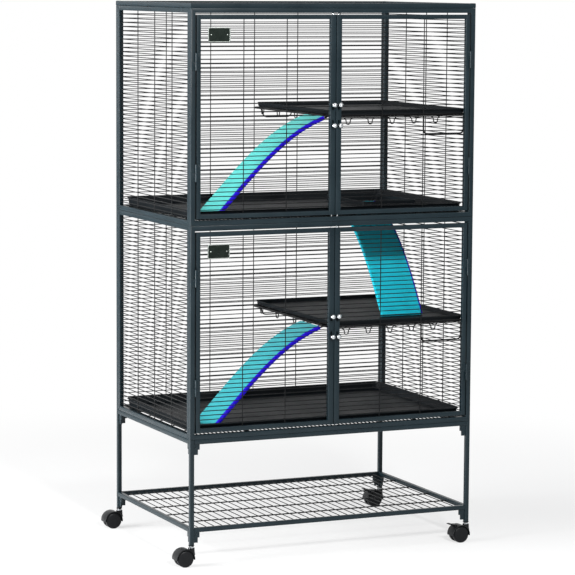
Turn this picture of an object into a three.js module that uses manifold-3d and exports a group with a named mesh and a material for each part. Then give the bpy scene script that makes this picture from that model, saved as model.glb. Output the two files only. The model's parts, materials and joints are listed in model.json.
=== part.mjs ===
// A wire cage for ferrets: two stacked units on a castored stand with a storage shelf.
// Millimetres. X is the width, Y the depth with the doors at -Y, and Z is up from the floor.
import * as THREE from 'three'
import { mergeVertices } from 'three/addons/utils/BufferGeometryUtils.js'
import Module from 'manifold-3d'

const wasm = await Module()
wasm.setup()

// Overall sizes
const cageWidth = 914
const cageDepth = 610
const unitHeight = 622
const frameTube = 14
const seatGap = 0.3 // between pieces that rest on each other
const overlap = 1 // how far joined pieces run into each other, and cuts past a face

// Wire
const wireDiameter = 2.4
const wirePitch = 12.7
const wireSides = 3
const sparse = { back: 2, flat: 3 } // the back, and the roof and floors, have one wire in so many
const wireBite = 1.5
const sideUprights = 3
const backUprights = 5
const doorUprights = 2
const topUprights = 3

// Stand
const standTube = 13
const legDrop = 296
const legWall = 1.2
const storageRise = 50
const storageWirePitch = 25.4
const storageRunners = 4
const storageBorder = 6
const bracketStep = { reach: 18, drop: 16 }
const bracketToe = { reach: 12.5, drop: 31 }
const bracketPlate = 6

// Castors
const wheelDiameter = 50
const wheelWidth = 39.6
const wheelSides = 16
const wheelChannel = 9.6
const castorTrail = 24
const axleDiameter = 6
const axlePlay = 0.5
const forkWeb = 7
const hoodWidth = 40
const hoodWall = 2.6
const hoodPlay = 0.9
const hoodSkirt = 0.12 // radians that the hood reaches below the axle
const webSkirt = 0.5
const neckRadius = 10
const neckFoot = 6
const neckRise = 8
const stemDiameter = 7.4
const stemPlay = 0.6
const stemLength = 20
const socketFlange = { radius: 9, thickness: 2.6 }
const plugCap = 3
const brakeAngle = 2.03 // radians from +X, round the axle, to the brake's pin
const brakeBarrelRadius = 2.5
const brakePinRadius = 1.3
const brakePinPlay = 0.4
const brakeEar = { inner: 9.3, thickness: 2.5, back: 3.5, front: 2.5, down: 4.7, up: 2.6 }
const brakeTab = { reach: 20, tip: 24, width: 17, root: 1.7, rise: 5.8 }

// Doors, hinges and latches
const doorTube = 13
const latchStile = 17.5
const stileWall = 1.5
const doorSideGap = 4
const doorEndGap = 5
const doorMiddleGap = 1.5
const hingeInset = 152
const knuckleLength = 25
const knuckleRadius = 4
const knuckleSides = 8
const hingePinRadius = 1.9
const hingePinPlay = 0.4
const hingePinShort = 2
const hingeLeaf = { reach: 12, thickness: 2.5 }
const latchRodRadius = 2.5
const latchRodPlay = 0.6
const latchRodTail = 5
const latchThrow = 13
const latchReach = 8.5
const latchHoleFloor = 3
const knobRadius = 7.8
const knobStandOff = 12
const knobStemRadius = 1.8
const knobSpread = 30

// Floors
const gridBar = 5
const gridTop = 13.4
const gridRunners = 2
const gridHook = { width: 10, lap: 5, thickness: 2.4, inset: 183 }
const panPlay = 0.5
const panWall = 2.5
const panHeight = 26
const panDraft = 4
const panLip = 3
const panHoleMargin = 12
const collarHeight = 20
const rampHole = { side: 5, fromShelfEnd: 72, front: -60, back: 185 }

// Shelves
const shelfLeft = -10
const shelfSideGap = 3
const shelfEndGap = 5
const shelfRodRadius = 3
const shelfWirePitch = 50.8
const shelfWireRise = 1.4
const shelfPanHeight = 14
const shelfPanWall = 2
const shelfPanLip = 1.5
const shelfPanDraft = 2
const shelfWire = 22
const shelfHook = { lap: 2.4, width: 6, thickness: 3, drop: 6, inset: 65 }
const toyRailRadius = 1.5
const smallLoop = { width: 22, drop: 22, first: 60, pitch: 72, count: 5 }
const frontLoop = { width: 134, drop: 52, inset: 8 }
const backLoop = { width: 104, drop: 30, inset: 30 }
const loopSteps = 4
const loopBend = 0.3

// Ramps
const rampWidth = 140
const rampFrameThickness = 5
const rampCoverThickness = 11
const rampCoverWall = 1.6
const rampRungPitch = 56
const rampRungRadius = 1.1
const rampRungSpan = { from: 0.03, to: 0.97 }
const rampHookWall = 2.6
const rampHookPlay = 0.6
const rampHookFrom = -0.9
const rampHookGrip = 0.8
const rampLeaveHook = -0.46
const rampBar = 4
const rampBarEnd = 0.985
const rampBow = 0.32
const rampSteps = 6
const rampCoverFrom = 0.02
const sideRampBend = { leave: 0.3, land: 0.8, wrap: 3.4 }
const middleRampBend = { leave: 0.17, land: 1.02, wrap: 2.1 }
const sideRampFootClear = 68
const middleRampRun = 350
const sideRampInset = { lower: 55, upper: 35 }

// Finishes
const powderCoat = { color: '#2f3942', roughness: 0.5, metalness: 0.3 }
const wireCoat = { color: '#22272b', roughness: 0.5, metalness: 0.3 }
const panPlastic = { color: '#2a2e34', roughness: 0.4, metalness: 0 }
const castorPlastic = { color: '#15181b', roughness: 0.45, metalness: 0 }
const fabric = { color: '#37bcc4', roughness: 0.95, metalness: 0 }
const chrome = { color: '#e4e6e8', roughness: 0.12, metalness: 1 }

// Places that follow from the sizes above
const halfWidth = cageWidth / 2
const halfDepth = cageDepth / 2
const insideX = halfWidth - frameTube
const insideY = halfDepth - frameTube
const wheelRadius = wheelDiameter / 2 / Math.cos(Math.PI / wheelSides)
const hoodInner = wheelRadius + hoodPlay
const hoodOuter = hoodInner + hoodWall
const legBottom = wheelDiameter / 2 + hoodOuter + neckRise
const standTop = legBottom + legDrop + standTube
const lowerBase = standTop + seatGap
const upperBase = lowerBase + unitHeight + seatGap
const roofBase = upperBase + unitHeight + seatGap
const frontFace = frameTube / 2
const doorWidth = (cageWidth - doorMiddleGap) / 2 - frameTube - doorSideGap
const doorBottom = frameTube + doorEndGap
const doorTop = unitHeight - doorBottom
const doorPlane = frontFace - doorTube / 2
const hingeX = insideX - doorSideGap / 2
const hingeOut = frontFace + knuckleRadius + seatGap
const latchX = (doorMiddleGap + latchStile) / 2
const legCentre = { x: halfWidth - standTube / 2, y: halfDepth - standTube / 2 }
const wireLayer = wireDiameter / 2 + seatGap / 2

// ---- solids ----

function solidOf(geometry) {
  const bare = geometry.clone()
  bare.deleteAttribute('normal')
  bare.deleteAttribute('uv')
  const merged = mergeVertices(bare, 1e-4)
  return new wasm.Manifold(new wasm.Mesh({
    numProp: 3,
    vertProperties: new Float32Array(merged.attributes.position.array),
    triVerts: new Uint32Array(merged.index.array),
  }))
}

function geometryOf(solid) {
  const mesh = solid.getMesh()
  const geometry = new THREE.BufferGeometry()
  geometry.setAttribute('position', new THREE.BufferAttribute(mesh.vertProperties, 3))
  geometry.setIndex(new THREE.BufferAttribute(mesh.triVerts, 1))
  geometry.computeVertexNormals()
  return geometry
}

function join(solids) {
  return solids.reduce((sum, solid) => sum.add(solid))
}

// Turns a solid about X, then Y, then Z, and moves it.
function placed(solid, position, turn = [0, 0, 0]) {
  const matrix = new THREE.Matrix4().makeRotationFromEuler(new THREE.Euler(...turn, 'ZYX'))
  matrix.setPosition(...position)
  return solidOf(geometryOf(solid).applyMatrix4(matrix))
}

const upright = [Math.PI / 2, 0, 0]
const acrossX = [Math.PI / 2, 0, Math.PI / 2]

// A box between two places on each axis, given in either order.
function block(x, y, z) {
  const sizes = [x, y, z].map(range => Math.abs(range[1] - range[0]))
  const geometry = new THREE.BoxGeometry(...sizes)
  geometry.translate((x[0] + x[1]) / 2, (y[0] + y[1]) / 2, (z[0] + z[1]) / 2)
  return solidOf(geometry)
}

// A rod with flat sides is as thick on average as a round one if its corners stand out this far.
function cornerRadius(radius, sides) {
  return 2 * radius / (1 + Math.cos(Math.PI / sides))
}

function rod(from, to, radius, sides) {
  const start = new THREE.Vector3(...from)
  const along = new THREE.Vector3(...to).sub(start)
  const corner = cornerRadius(radius, sides)
  const geometry = new THREE.CylinderGeometry(corner, corner, along.length(), sides)
  geometry.rotateY(Math.PI / sides)
  geometry.translate(0, along.length() / 2, 0)
  const up = new THREE.Vector3(0, 1, 0)
  geometry.applyQuaternion(new THREE.Quaternion().setFromUnitVectors(up, along.clone().normalize()))
  geometry.translate(start.x, start.y, start.z)
  return solidOf(geometry)
}

// A flat outline pulled along Z, centred on z = 0.
function plate(shape, thickness, curveSegments = 4) {
  const options = { depth: thickness, bevelEnabled: false, curveSegments }
  const geometry = new THREE.ExtrudeGeometry(shape, options)
  geometry.translate(0, 0, -thickness / 2)
  return solidOf(geometry)
}

function polygon(points) {
  return new THREE.Shape(points.map(at => new THREE.Vector2(...at)))
}

// A rectangle between two places on each axis, given in either order.
function rectangle(x, y) {
  const [left, right, low, high] = [Math.min(...x), Math.max(...x), Math.min(...y), Math.max(...y)]
  return polygon([[left, low], [right, low], [right, high], [left, high]])
}

function sector(radius, from, to) {
  const shape = new THREE.Shape()
  shape.absarc(0, 0, radius, from, to, false)
  shape.closePath()
  return shape
}

// A welded tube frame: an outer rectangle less its opening.
function tubeRing(outer, opening, thickness) {
  const shape = rectangle(outer.x, outer.y)
  shape.holes.push(rectangle(opening.x, opening.y))
  return plate(shape, thickness)
}

// A span from -half to half, drawn in by an inset.
function inward(half, inset = 0) {
  return [inset - half, half - inset]
}

// Places of equally spaced wires, centred in a span.
function wirePlaces(span, pitch) {
  const count = Math.floor((span[1] - span[0]) / pitch - 0.5)
  const first = (span[0] + span[1] - (count - 1) * pitch) / 2
  return Array.from({ length: count }, (_, index) => first + index * pitch)
}

function dividedPlaces(span, count) {
  const step = (span[1] - span[0]) / (count + 1)
  return Array.from({ length: count }, (_, index) => span[0] + (index + 1) * step)
}

function wire(from, to) {
  return rod(from, to, wireDiameter / 2, wireSides)
}

// Close horizontal wires in front and a few uprights behind, all welded into the frame.
// Of the horizontal wires it draws one in every few.
function meshWires(opening, uprights, every) {
  const left = Math.min(...opening.x) - wireBite
  const right = Math.max(...opening.x) + wireBite
  const [low, high] = opening.y
  const drawn = wirePlaces(opening.y, wirePitch).filter((_, index) => index % every === 0)
  const across = drawn.map(y => wire([left, y, wireLayer], [right, y, wireLayer]))
  const behind = dividedPlaces(opening.x, uprights).map(x =>
    wire([x, low - wireBite, -wireLayer], [x, high + wireBite, -wireLayer]))
  return [...across, ...behind]
}

// Panel axes: X across, Y along the uprights, Z out of the cage.
function wirePanel(width, height, uprights, every) {
  const outer = { x: inward(width / 2), y: [0, height] }
  const opening = { x: inward(width / 2, frameTube), y: [frameTube, height - frameTube] }
  return join([tubeRing(outer, opening, frameTube), ...meshWires(opening, uprights, every)])
}

// ---- scene graph ----

function node(name, solid, finish) {
  const mesh = new THREE.Mesh(geometryOf(solid), new THREE.MeshStandardMaterial(finish))
  mesh.name = name
  return mesh
}

// Stands a panel up, with its outer face turned from the front by an angle about Z.
function standUp(object, x, y, z, turn) {
  object.rotation.set(Math.PI / 2, 0, turn, 'ZYX')
  object.position.set(x, y, z)
  return object
}

// ---- front: frame, doors, hinges and latches, in panel axes ----

const hingeHeights = [hingeInset, unitHeight - hingeInset]

// Half a hinge: a barrel and the leaf that welds it to its tube.
function hingeKnuckle(side, low, reach) {
  const x = side * hingeX
  const high = low + knuckleLength
  const barrel = rod([x, low, hingeOut], [x, high, hingeOut], knuckleRadius, knuckleSides)
  const leaf = block([x, x + side * reach], [low, high],
    [frontFace - overlap, frontFace + hingeLeaf.thickness])
  return barrel.add(leaf)
}

function frontFrame() {
  const outer = { x: inward(halfWidth), y: [0, unitHeight] }
  const opening = { x: inward(insideX), y: [frameTube, unitHeight - frameTube] }
  const parts = [tubeRing(outer, opening, frameTube)]
  const holes = []
  for (const side of [-1, 1]) {
    for (const height of hingeHeights) {
      const x = side * hingeX
      const pinTop = height + knuckleLength - hingePinShort
      const lower = height - knuckleLength - seatGap / 2
      parts.push(hingeKnuckle(side, lower, hingeLeaf.reach))
      parts.push(rod([x, height - overlap, hingeOut], [x, pinTop, hingeOut], hingePinRadius, 6))
    }
    for (const way of [-1, 1]) {
      const middle = unitHeight / 2
      const mouth = middle + way * (middle - frameTube - overlap)
      const floor = middle + way * (middle - latchHoleFloor)
      const x = side * latchX
      holes.push(rod([x, mouth, doorPlane], [x, floor, doorPlane], latchRodRadius + latchRodPlay, 6))
    }
  }
  return join(parts).subtract(join(holes))
}

function door(side) {
  const inner = side * doorMiddleGap / 2
  const hinged = inner + side * doorWidth
  const outer = { x: [inner, hinged], y: [doorBottom, doorTop] }
  const opening = {
    x: [inner + side * latchStile, hinged - side * doorTube],
    y: [doorBottom + doorTube, doorTop - doorTube],
  }
  const leaf = join([tubeRing(outer, opening, doorTube), ...meshWires(opening, doorUprights, 1)])
  const parts = [placed(leaf, [0, 0, doorPlane])]
  const bores = []
  for (const height of hingeHeights) {
    const x = side * hingeX
    const low = height + seatGap / 2
    const high = low + knuckleLength
    parts.push(hingeKnuckle(side, low, -hingeLeaf.reach))
    bores.push(rod([x, low - overlap, hingeOut], [x, high + overlap, hingeOut],
      hingePinRadius + hingePinPlay, knuckleSides))
  }
  return join(parts).subtract(join([...bores, latchCavity(side)]))
}

// The latch stile is a hollow tube, with a rod hole at each end and a slot for each knob.
function latchCavity(side) {
  const x = side * latchX
  const halfWide = latchStile / 2 - stileWall
  const halfDeep = doorTube / 2 - stileWall
  const hollow = block([x - halfWide, x + halfWide], [doorBottom + stileWall, doorTop - stileWall],
    [doorPlane - halfDeep, doorPlane + halfDeep])
  const ends = rod([x, doorBottom - overlap, doorPlane], [x, doorTop + overlap, doorPlane],
    latchRodRadius + latchRodPlay, 6)
  const slotHalf = knobStemRadius + latchRodPlay
  const slots = [-1, 1].map(way => {
    const home = unitHeight / 2 + way * (knobSpread + slotHalf)
    const drawn = unitHeight / 2 + way * (knobSpread - latchThrow - slotHalf)
    return block([x - slotHalf, x + slotHalf], [home, drawn], [doorPlane, frontFace + overlap])
  })
  return join([hollow, ends, ...slots])
}

// A spring rod inside the stile, drawn back by its ball knob.
function latch(side, way) {
  const x = side * latchX
  const knobHeight = unitHeight / 2 + way * knobSpread
  const doorEnd = way > 0 ? doorTop : doorBottom
  const tip = doorEnd + way * (doorEndGap + latchReach)
  const tail = knobHeight - way * latchRodTail
  const ballOut = frontFace + knobStandOff
  const bar = rod([x, tail, doorPlane], [x, tip, doorPlane], latchRodRadius, 6)
  const stem = rod([x, knobHeight, doorPlane], [x, knobHeight, ballOut], knobStemRadius, 5)
  const ball = new THREE.SphereGeometry(knobRadius, 8, 5)
  ball.rotateX(Math.PI / 2)
  ball.translate(x, knobHeight, ballOut)
  return join([bar, stem, solidOf(ball)])
}

// ---- floors ----

const gridEdge = { x: insideX - seatGap, y: insideY - seatGap }
const gridMiddle = gridTop - gridBar / 2

function floorGrid(hole) {
  const outer = { x: inward(gridEdge.x), y: inward(gridEdge.y) }
  const opening = { x: inward(gridEdge.x, gridBar), y: inward(gridEdge.y, gridBar) }
  const parts = [tubeRing(outer, opening, gridBar)]
  if (hole) parts.push(tubeRing(grown(hole, gridBar), hole, gridBar))
  const grid = placed(join(parts), [0, 0, gridMiddle])
  return join([grid, ...floorWires(opening, hole), ...floorRunners(opening, hole), ...gridHooks()])
}

function grown(area, margin) {
  return {
    x: [area.x[0] - margin, area.x[1] + margin],
    y: [area.y[0] - margin, area.y[1] + margin],
  }
}

// The stretches of a line that stay clear of the hole's border.
function stretches(at, across, span, along) {
  const crosses = across && at > across[0] - gridBar && at < across[1] + gridBar
  return crosses ? [[span[0], along[0] - gridBar], [along[1] + gridBar, span[1]]] : [span]
}

// Wires along Y, with their flat tops just under the border's top.
function floorWires(opening, hole) {
  const z = gridTop - 0.7 * wireDiameter / 2
  return wirePlaces(opening.x, sparse.flat * wirePitch).flatMap(x =>
    stretches(x, hole?.x, opening.y, hole?.y).map(([front, back]) =>
      wire([x, front - wireBite, z], [x, back + wireBite, z])))
}

function floorRunners(opening, hole) {
  const z = gridTop - gridBar + wireDiameter / 2
  return dividedPlaces(opening.y, gridRunners).flatMap(y =>
    stretches(y, hole?.y, opening.x, hole?.x).map(([left, right]) =>
      wire([left - wireBite, y, z], [right + wireBite, y, z])))
}

// Lugs that lap over the front and back frames' bottom rails.
function gridHooks() {
  const railTop = frameTube + seatGap
  const top = railTop + gridHook.thickness
  return [-1, 1].flatMap(side => [-1, 1].flatMap(way => {
    const x = way * (halfWidth - gridHook.inset)
    const wide = [x - gridHook.width / 2, x + gridHook.width / 2]
    const edge = side * gridEdge.y
    const inner = edge - side * gridBar
    const riser = block(wide, [edge, inner], [gridTop - overlap, top])
    const lap = block(wide, [inner, edge + side * gridHook.lap], [railTop, top])
    return [riser, lap]
  }))
}

// A tapered block, narrower at its foot.
function taperedBlock(x, y, z, draft) {
  const corners = [[z[0], draft], [z[1], 0]].flatMap(([height, inset]) => [
    x[0] + inset, y[0] + inset, height, x[1] - inset, y[0] + inset, height,
    x[1] - inset, y[1] - inset, height, x[0] + inset, y[1] - inset, height,
  ])
  const faces = [0, 2, 1, 0, 3, 2, 4, 5, 6, 4, 6, 7]
  for (let side = 0; side < 4; side++) {
    const next = (side + 1) % 4
    faces.push(side, next, next + 4, side, next + 4, side + 4)
  }
  const geometry = new THREE.BufferGeometry()
  geometry.setAttribute('position', new THREE.Float32BufferAttribute(corners, 3))
  geometry.setIndex(faces)
  return solidOf(geometry)
}

function shrunk(span, inset) {
  return [span[0] + inset, span[1] - inset]
}

// A moulded tray with a flat lip round its rim.
function tray(x, y, bottom, { height, wall, lip, draft }) {
  const top = bottom + height
  const outer = taperedBlock(shrunk(x, lip), shrunk(y, lip), [bottom, top], draft)
  const rim = block(x, y, [top - wall, top])
  const inside = taperedBlock(shrunk(x, lip + wall), shrunk(y, lip + wall),
    [bottom + wall, top + overlap], draft)
  return outer.add(rim).subtract(inside)
}

const panOuter = {
  x: inward(gridEdge.x, gridBar + panPlay),
  y: inward(gridEdge.y, gridBar + panPlay),
}
const panBottom = gridTop + seatGap

function floorPan(hole) {
  const form = { height: panHeight, wall: panWall, lip: panLip, draft: panDraft }
  const pan = tray(panOuter.x, panOuter.y, panBottom, form)
  if (!hole) return pan
  const mouth = grown(hole, panHoleMargin)
  const wall = grown(mouth, panWall)
  const collarTop = panBottom + collarHeight
  const collar = block(wall.x, wall.y, [panBottom, collarTop])
  return pan.add(collar).subtract(block(mouth.x, mouth.y, [panBottom - overlap, collarTop + overlap]))
}

// ---- shelves ----

// The shelf's hooks rest on one of the panels' horizontal wires.
const panelWireHeights = wirePlaces([frameTube, unitHeight - frameTube], wirePitch)
const shelfRodZ = panelWireHeights[shelfWire] + wireDiameter / 2 + seatGap
const shelfRight = insideX - shelfSideGap
const shelfHalfDepth = insideY - shelfEndGap
const shelfRodX = { left: shelfLeft + shelfRodRadius, right: shelfRight - shelfRodRadius }
const shelfRodY = shelfHalfDepth - shelfRodRadius
const shelfTop = shelfRodZ + shelfRodRadius

function shelfFrame() {
  const { left, right } = shelfRodX
  const radius = shelfRodRadius
  const middle = (left + right) / 2
  const outer = { x: [left, right + radius], y: inward(shelfHalfDepth) }
  const opening = { x: [left + overlap, right - radius], y: inward(shelfRodY, radius) }
  const border = placed(tubeRing(outer, opening, 2 * radius), [0, 0, shelfRodZ])
  const hookRod = rod([left, outer.y[0], shelfRodZ], [left, outer.y[1], shelfRodZ], radius, 8)
  const over = shelfRodZ + shelfWireRise
  const under = shelfRodZ - shelfWireRise
  const wires = wirePlaces(opening.y, shelfWirePitch).map(y => wire([left, y, over], [right, y, over]))
  const spine = wire([middle, -shelfRodY, under], [middle, shelfRodY, under])
  const loop = hangingLoop(shelfLeft + backLoop.inset, backLoop, shelfRodY, shelfRodZ - overlap)
  return join([border, hookRod, ...wires, spine, ...shelfHooks(), loop])
}

// A tongue that passes over a panel wire and turns down behind it.
function shelfTongue(length) {
  const { lap, width, thickness, drop } = shelfHook
  const outline = [[0, 0], [length, 0], [length, -drop], [length + lap, -drop],
    [length + lap, thickness], [0, thickness]]
  return placed(plate(polygon(outline), width), [0, 0, shelfRodZ], upright)
}

function shelfHooks() {
  const wireCorner = cornerRadius(wireDiameter / 2, wireSides)
  const wireBack = frameTube / 2 - wireLayer - wireCorner - seatGap
  const toBack = placed(shelfTongue(halfDepth - wireBack - shelfRodY), [0, 0, 0], [0, 0, Math.PI / 2])
  const toSide = shelfTongue(halfWidth - wireBack - shelfRodX.right)
  const backPlaces = shrunk([shelfRodX.left, shelfRodX.right], shelfHook.inset)
  const sidePlaces = inward(shelfRodY, shelfHook.inset)
  return [...backPlaces.map(x => placed(toBack, [x, shelfRodY, 0])),
    ...sidePlaces.map(y => placed(toSide, [shelfRodX.right, y, 0]))]
}

// A wire loop that hangs from a top height at one depth, with its bends on a smooth curve.
function hangingLoop(left, { width, drop }, y, top) {
  const right = left + width
  const low = top - drop
  const bend = loopBend * Math.min(drop, width)
  const corners = [[left, top], [left + bend, low], [right - bend, low], [right, top]]
  const path = new THREE.CatmullRomCurve3(corners.map(([x, z]) => new THREE.Vector3(x, y, z)))
  const half = wireDiameter / 2
  const section = polygon([[-half, -half], [half, -half], [0, half]])
  const options = { steps: loopSteps, bevelEnabled: false, extrudePath: path }
  return solidOf(new THREE.ExtrudeGeometry(section, options))
}

// A rail under the shelf's front edge, with small loops for hanging toys and a wide one.
function toyRail() {
  const y = -shelfRodY
  const z = shelfRodZ - shelfRodRadius - seatGap - toyRailRadius
  const rail = rod([shelfLeft, y, z], [shelfRight, y, z], toyRailRadius, 6)
  const small = Array.from({ length: smallLoop.count }, (_, index) => {
    const middle = shelfLeft + smallLoop.first + index * smallLoop.pitch
    return hangingLoop(middle - smallLoop.width / 2, smallLoop, y, z)
  })
  const wide = hangingLoop(shelfRight - frontLoop.inset - frontLoop.width, frontLoop, y, z)
  return join([rail, ...small, wide])
}

// The tray leaves the left rod free for the ramp's hooks.
function shelfPan() {
  const hookOut = shelfRodRadius + rampHookPlay + rampHookWall + 2 * seatGap
  const form = {
    height: shelfPanHeight, wall: shelfPanWall, lip: shelfPanLip, draft: shelfPanDraft,
  }
  return tray([shelfRodX.left + hookOut, shelfRight], inward(shelfHalfDepth), shelfTop + seatGap, form)
}

// ---- ramps ----

// Ramp axes: X runs from the hook bar to the foot, Y is up, and Z is across.
// The curve leaves the bar at a shallow angle and steepens to the foot, which stands `drop` below.
function rampCurve({ radius, run, drop, leave, land }) {
  const grip = radius + rampHookPlay + rampHookGrip * rampHookWall
  const sole = rampCoverThickness / 2 * Math.cos(land)
  const start = new THREE.Vector2(Math.cos(rampLeaveHook), Math.sin(rampLeaveHook))
  start.multiplyScalar(grip)
  const foot = new THREE.Vector2(run, sole - drop)
  const reach = rampBow * foot.distanceTo(start)
  const leaving = new THREE.Vector2(Math.cos(leave), -Math.sin(leave)).multiplyScalar(reach)
  const landing = new THREE.Vector2(Math.cos(land), -Math.sin(land)).multiplyScalar(reach)
  return new THREE.CubicBezierCurve(start, start.clone().add(leaving), foot.clone().sub(landing), foot)
}

// The side view of a strip along a stretch of the curve, run on past its ends if asked.
function curveStrip(curve, from, to, thickness, overrun = 0) {
  const upper = []
  const lower = []
  for (let step = 0; step <= rampSteps; step++) {
    const share = from + (to - from) * step / rampSteps
    const past = step === 0 ? -overrun : step === rampSteps ? overrun : 0
    const tangent = curve.getTangentAt(share)
    const point = curve.getPointAt(share).add(tangent.clone().multiplyScalar(past))
    const normal = new THREE.Vector2(-tangent.y, tangent.x).multiplyScalar(thickness / 2)
    upper.push(point.clone().add(normal))
    lower.unshift(point.clone().sub(normal))
  }
  return new THREE.Shape([...upper, ...lower])
}

// An open ring that drops over the hook bar.
function rampHookShape(bar) {
  const inner = bar.radius + rampHookPlay
  const hook = new THREE.Shape()
  hook.absarc(0, 0, inner + rampHookWall, rampHookFrom, bar.wrap, false)
  hook.absarc(0, 0, inner, bar.wrap, rampHookFrom, true)
  hook.closePath()
  return hook
}

// Two curved side bars with rungs, each bar ending in a hook over the hook bar.
function rampFrame(curve, bar) {
  const edge = rampWidth / 2 - rampCoverWall - overlap
  const strip = plate(curveStrip(curve, 0, rampBarEnd, rampFrameThickness), rampBar)
  const side = strip.add(plate(rampHookShape(bar), rampBar))
  const middle = edge - rampBar / 2
  const gaps = Math.floor(curve.getLength() / rampRungPitch)
  const rungs = Array.from({ length: gaps + 1 }, (_, index) => {
    const share = rampRungSpan.from + (rampRungSpan.to - rampRungSpan.from) * index / gaps
    const at = curve.getPointAt(share)
    return rod([at.x, at.y, -middle], [at.x, at.y, middle], rampRungRadius, wireSides)
  })
  return join([placed(side, [0, 0, -middle]), placed(side, [0, 0, middle]), ...rungs])
}

// A fabric sleeve, open at both ends, drawn over the ramp's frame.
function rampCover(curve) {
  const inside = rampCoverThickness - 2 * rampCoverWall
  const outer = plate(curveStrip(curve, rampCoverFrom, 1, rampCoverThickness), rampWidth)
  const hollow = plate(curveStrip(curve, rampCoverFrom, 1, inside, rampCoverThickness),
    rampWidth - 2 * rampCoverWall)
  return outer.subtract(hollow)
}

// ---- stand ----

// A stepped plate under a rail's end, which hooks into the leg. X runs from the leg along the rail.
function railBracket() {
  const outline = [[0, overlap], [bracketStep.reach, overlap], [bracketStep.reach, -bracketStep.drop],
    [bracketToe.reach, -bracketStep.drop], [bracketToe.reach, -bracketToe.drop], [0, -bracketToe.drop]]
  return placed(plate(polygon(outline), bracketPlate), [0, 0, 0], upright)
}

const tubeSection = rectangle(inward(standTube / 2), inward(standTube / 2))

// A tube between two legs, along X and centred on the origin, with a bracket under each end.
function standRail(length) {
  const half = length / 2
  const tube = placed(plate(tubeSection, length), [0, 0, 0], acrossX)
  const bracket = railBracket()
  const underside = -standTube / 2
  return join([tube, placed(bracket, [-half, 0, underside]),
    placed(bracket, [half, 0, underside], [0, 0, Math.PI])])
}

const railLength = {
  x: cageWidth - 2 * standTube - 2 * seatGap,
  y: cageDepth - 2 * standTube - 2 * seatGap,
}

// Four rails round a deck of wires, whose border bar stays clear of the legs.
function storageShelf() {
  const { x, y } = legCentre
  const alongX = standRail(railLength.x)
  const alongY = placed(standRail(railLength.y), [0, 0, 0], [0, 0, Math.PI / 2])
  const rails = [placed(alongX, [0, -y, 0]), placed(alongX, [0, y, 0]),
    placed(alongY, [-x, 0, 0]), placed(alongY, [x, 0, 0])]
  const edge = { x: halfWidth - standTube + overlap, y: halfDepth - standTube + overlap }
  const opening = { x: inward(edge.x, storageBorder), y: inward(edge.y, storageBorder) }
  const ring = tubeRing({ x: inward(edge.x), y: inward(edge.y) }, opening, storageBorder)
  const border = ring.subtract(join(legNotches(edge)))
  const cross = wirePlaces(opening.x, storageWirePitch).map(at =>
    wire([at, opening.y[0] - wireBite, wireLayer], [at, opening.y[1] + wireBite, wireLayer]))
  const runners = dividedPlaces(opening.y, storageRunners).map(at =>
    wire([opening.x[0] - wireBite, at, -wireLayer], [opening.x[1] + wireBite, at, -wireLayer]))
  return join([...rails, border, ...cross, ...runners])
}

function legNotches(edge) {
  const size = overlap + seatGap
  return [-1, 1].flatMap(sideX => [-1, 1].map(sideY => block(
    [sideX * edge.x, sideX * (edge.x - size)],
    [sideY * edge.y, sideY * (edge.y - size)],
    inward(standTube))))
}

const legBore = standTube / 2 - legWall
const plugHalf = legBore - seatGap
const plugTop = legBottom + stemLength + plugCap

function standLeg() {
  const length = standTop - legBottom
  const tube = placed(plate(tubeSection, length), [0, 0, legBottom + length / 2])
  const bore = block(inward(legBore), inward(legBore), [legBottom - overlap, plugTop + seatGap])
  return tube.subtract(bore)
}

// ---- castors, with the stem's axis on Z and the wheel trailing towards -X ----

const axleRadius = axleDiameter / 2
const wheelAt = [-castorTrail, 0, wheelDiameter / 2]
const flangeTop = legBottom - seatGap
const flangeLow = flangeTop - socketFlange.thickness
const brakePivotRadius = hoodOuter + brakeBarrelRadius + seatGap
const brakePivot = {
  x: Math.cos(brakeAngle) * brakePivotRadius - castorTrail,
  z: Math.sin(brakeAngle) * brakePivotRadius + wheelDiameter / 2,
}

function castorSocket() {
  const flange = rod([0, 0, flangeLow], [0, 0, flangeTop], socketFlange.radius, 12)
  const plug = block(inward(plugHalf), inward(plugHalf), [flangeTop - overlap, plugTop])
  const bore = rod([0, 0, flangeLow - overlap], [0, 0, legBottom + stemLength + overlap],
    stemDiameter / 2 + stemPlay, 8)
  return flange.add(plug).subtract(bore)
}

// A plate round the axle, turned to stand along the wheel.
function roundWheel(shape, thickness, curveSegments) {
  return placed(plate(shape, thickness, curveSegments), wheelAt, upright)
}

function castorFork(braked) {
  const segments = 6
  const roomRadius = hoodInner / Math.cos(Math.PI / segments / 2)
  const hood = roundWheel(sector(hoodOuter, -hoodSkirt, Math.PI + hoodSkirt), hoodWidth, 4)
  const room = roundWheel(sector(roomRadius, 0, 2 * Math.PI), 2 * hoodWidth, segments)
  const web = roundWheel(sector(hoodInner + overlap, -webSkirt, Math.PI + webSkirt), forkWeb, 4)
  const neckTop = flangeLow - 5 * seatGap
  const neck = rod([0, 0, wheelDiameter / 2 + neckFoot], [0, 0, neckTop], neckRadius, 10)
  const stem = rod([0, 0, neckTop - overlap], [0, 0, legBottom + stemLength], stemDiameter / 2, 6)
  const parts = [hood.add(neck).subtract(room), web, stem]
  if (braked) parts.push(brakeEars())
  const [x, , z] = wheelAt
  const bore = rod([x, -forkWeb, z], [x, forkWeb, z], axleRadius + axlePlay, 8)
  return join(parts).subtract(bore)
}

function brakeEars() {
  const { x, z } = brakePivot
  const outer = brakeEar.inner + brakeEar.thickness
  const ears = [-1, 1].map(side => block([x - brakeEar.back, x + brakeEar.front],
    [side * brakeEar.inner, side * outer], [z - brakeEar.down, z + brakeEar.up]))
  const reach = outer + overlap
  return join(ears).subtract(rod([x, -reach, z], [x, reach, z], brakePinRadius + brakePinPlay, 8))
}

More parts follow.
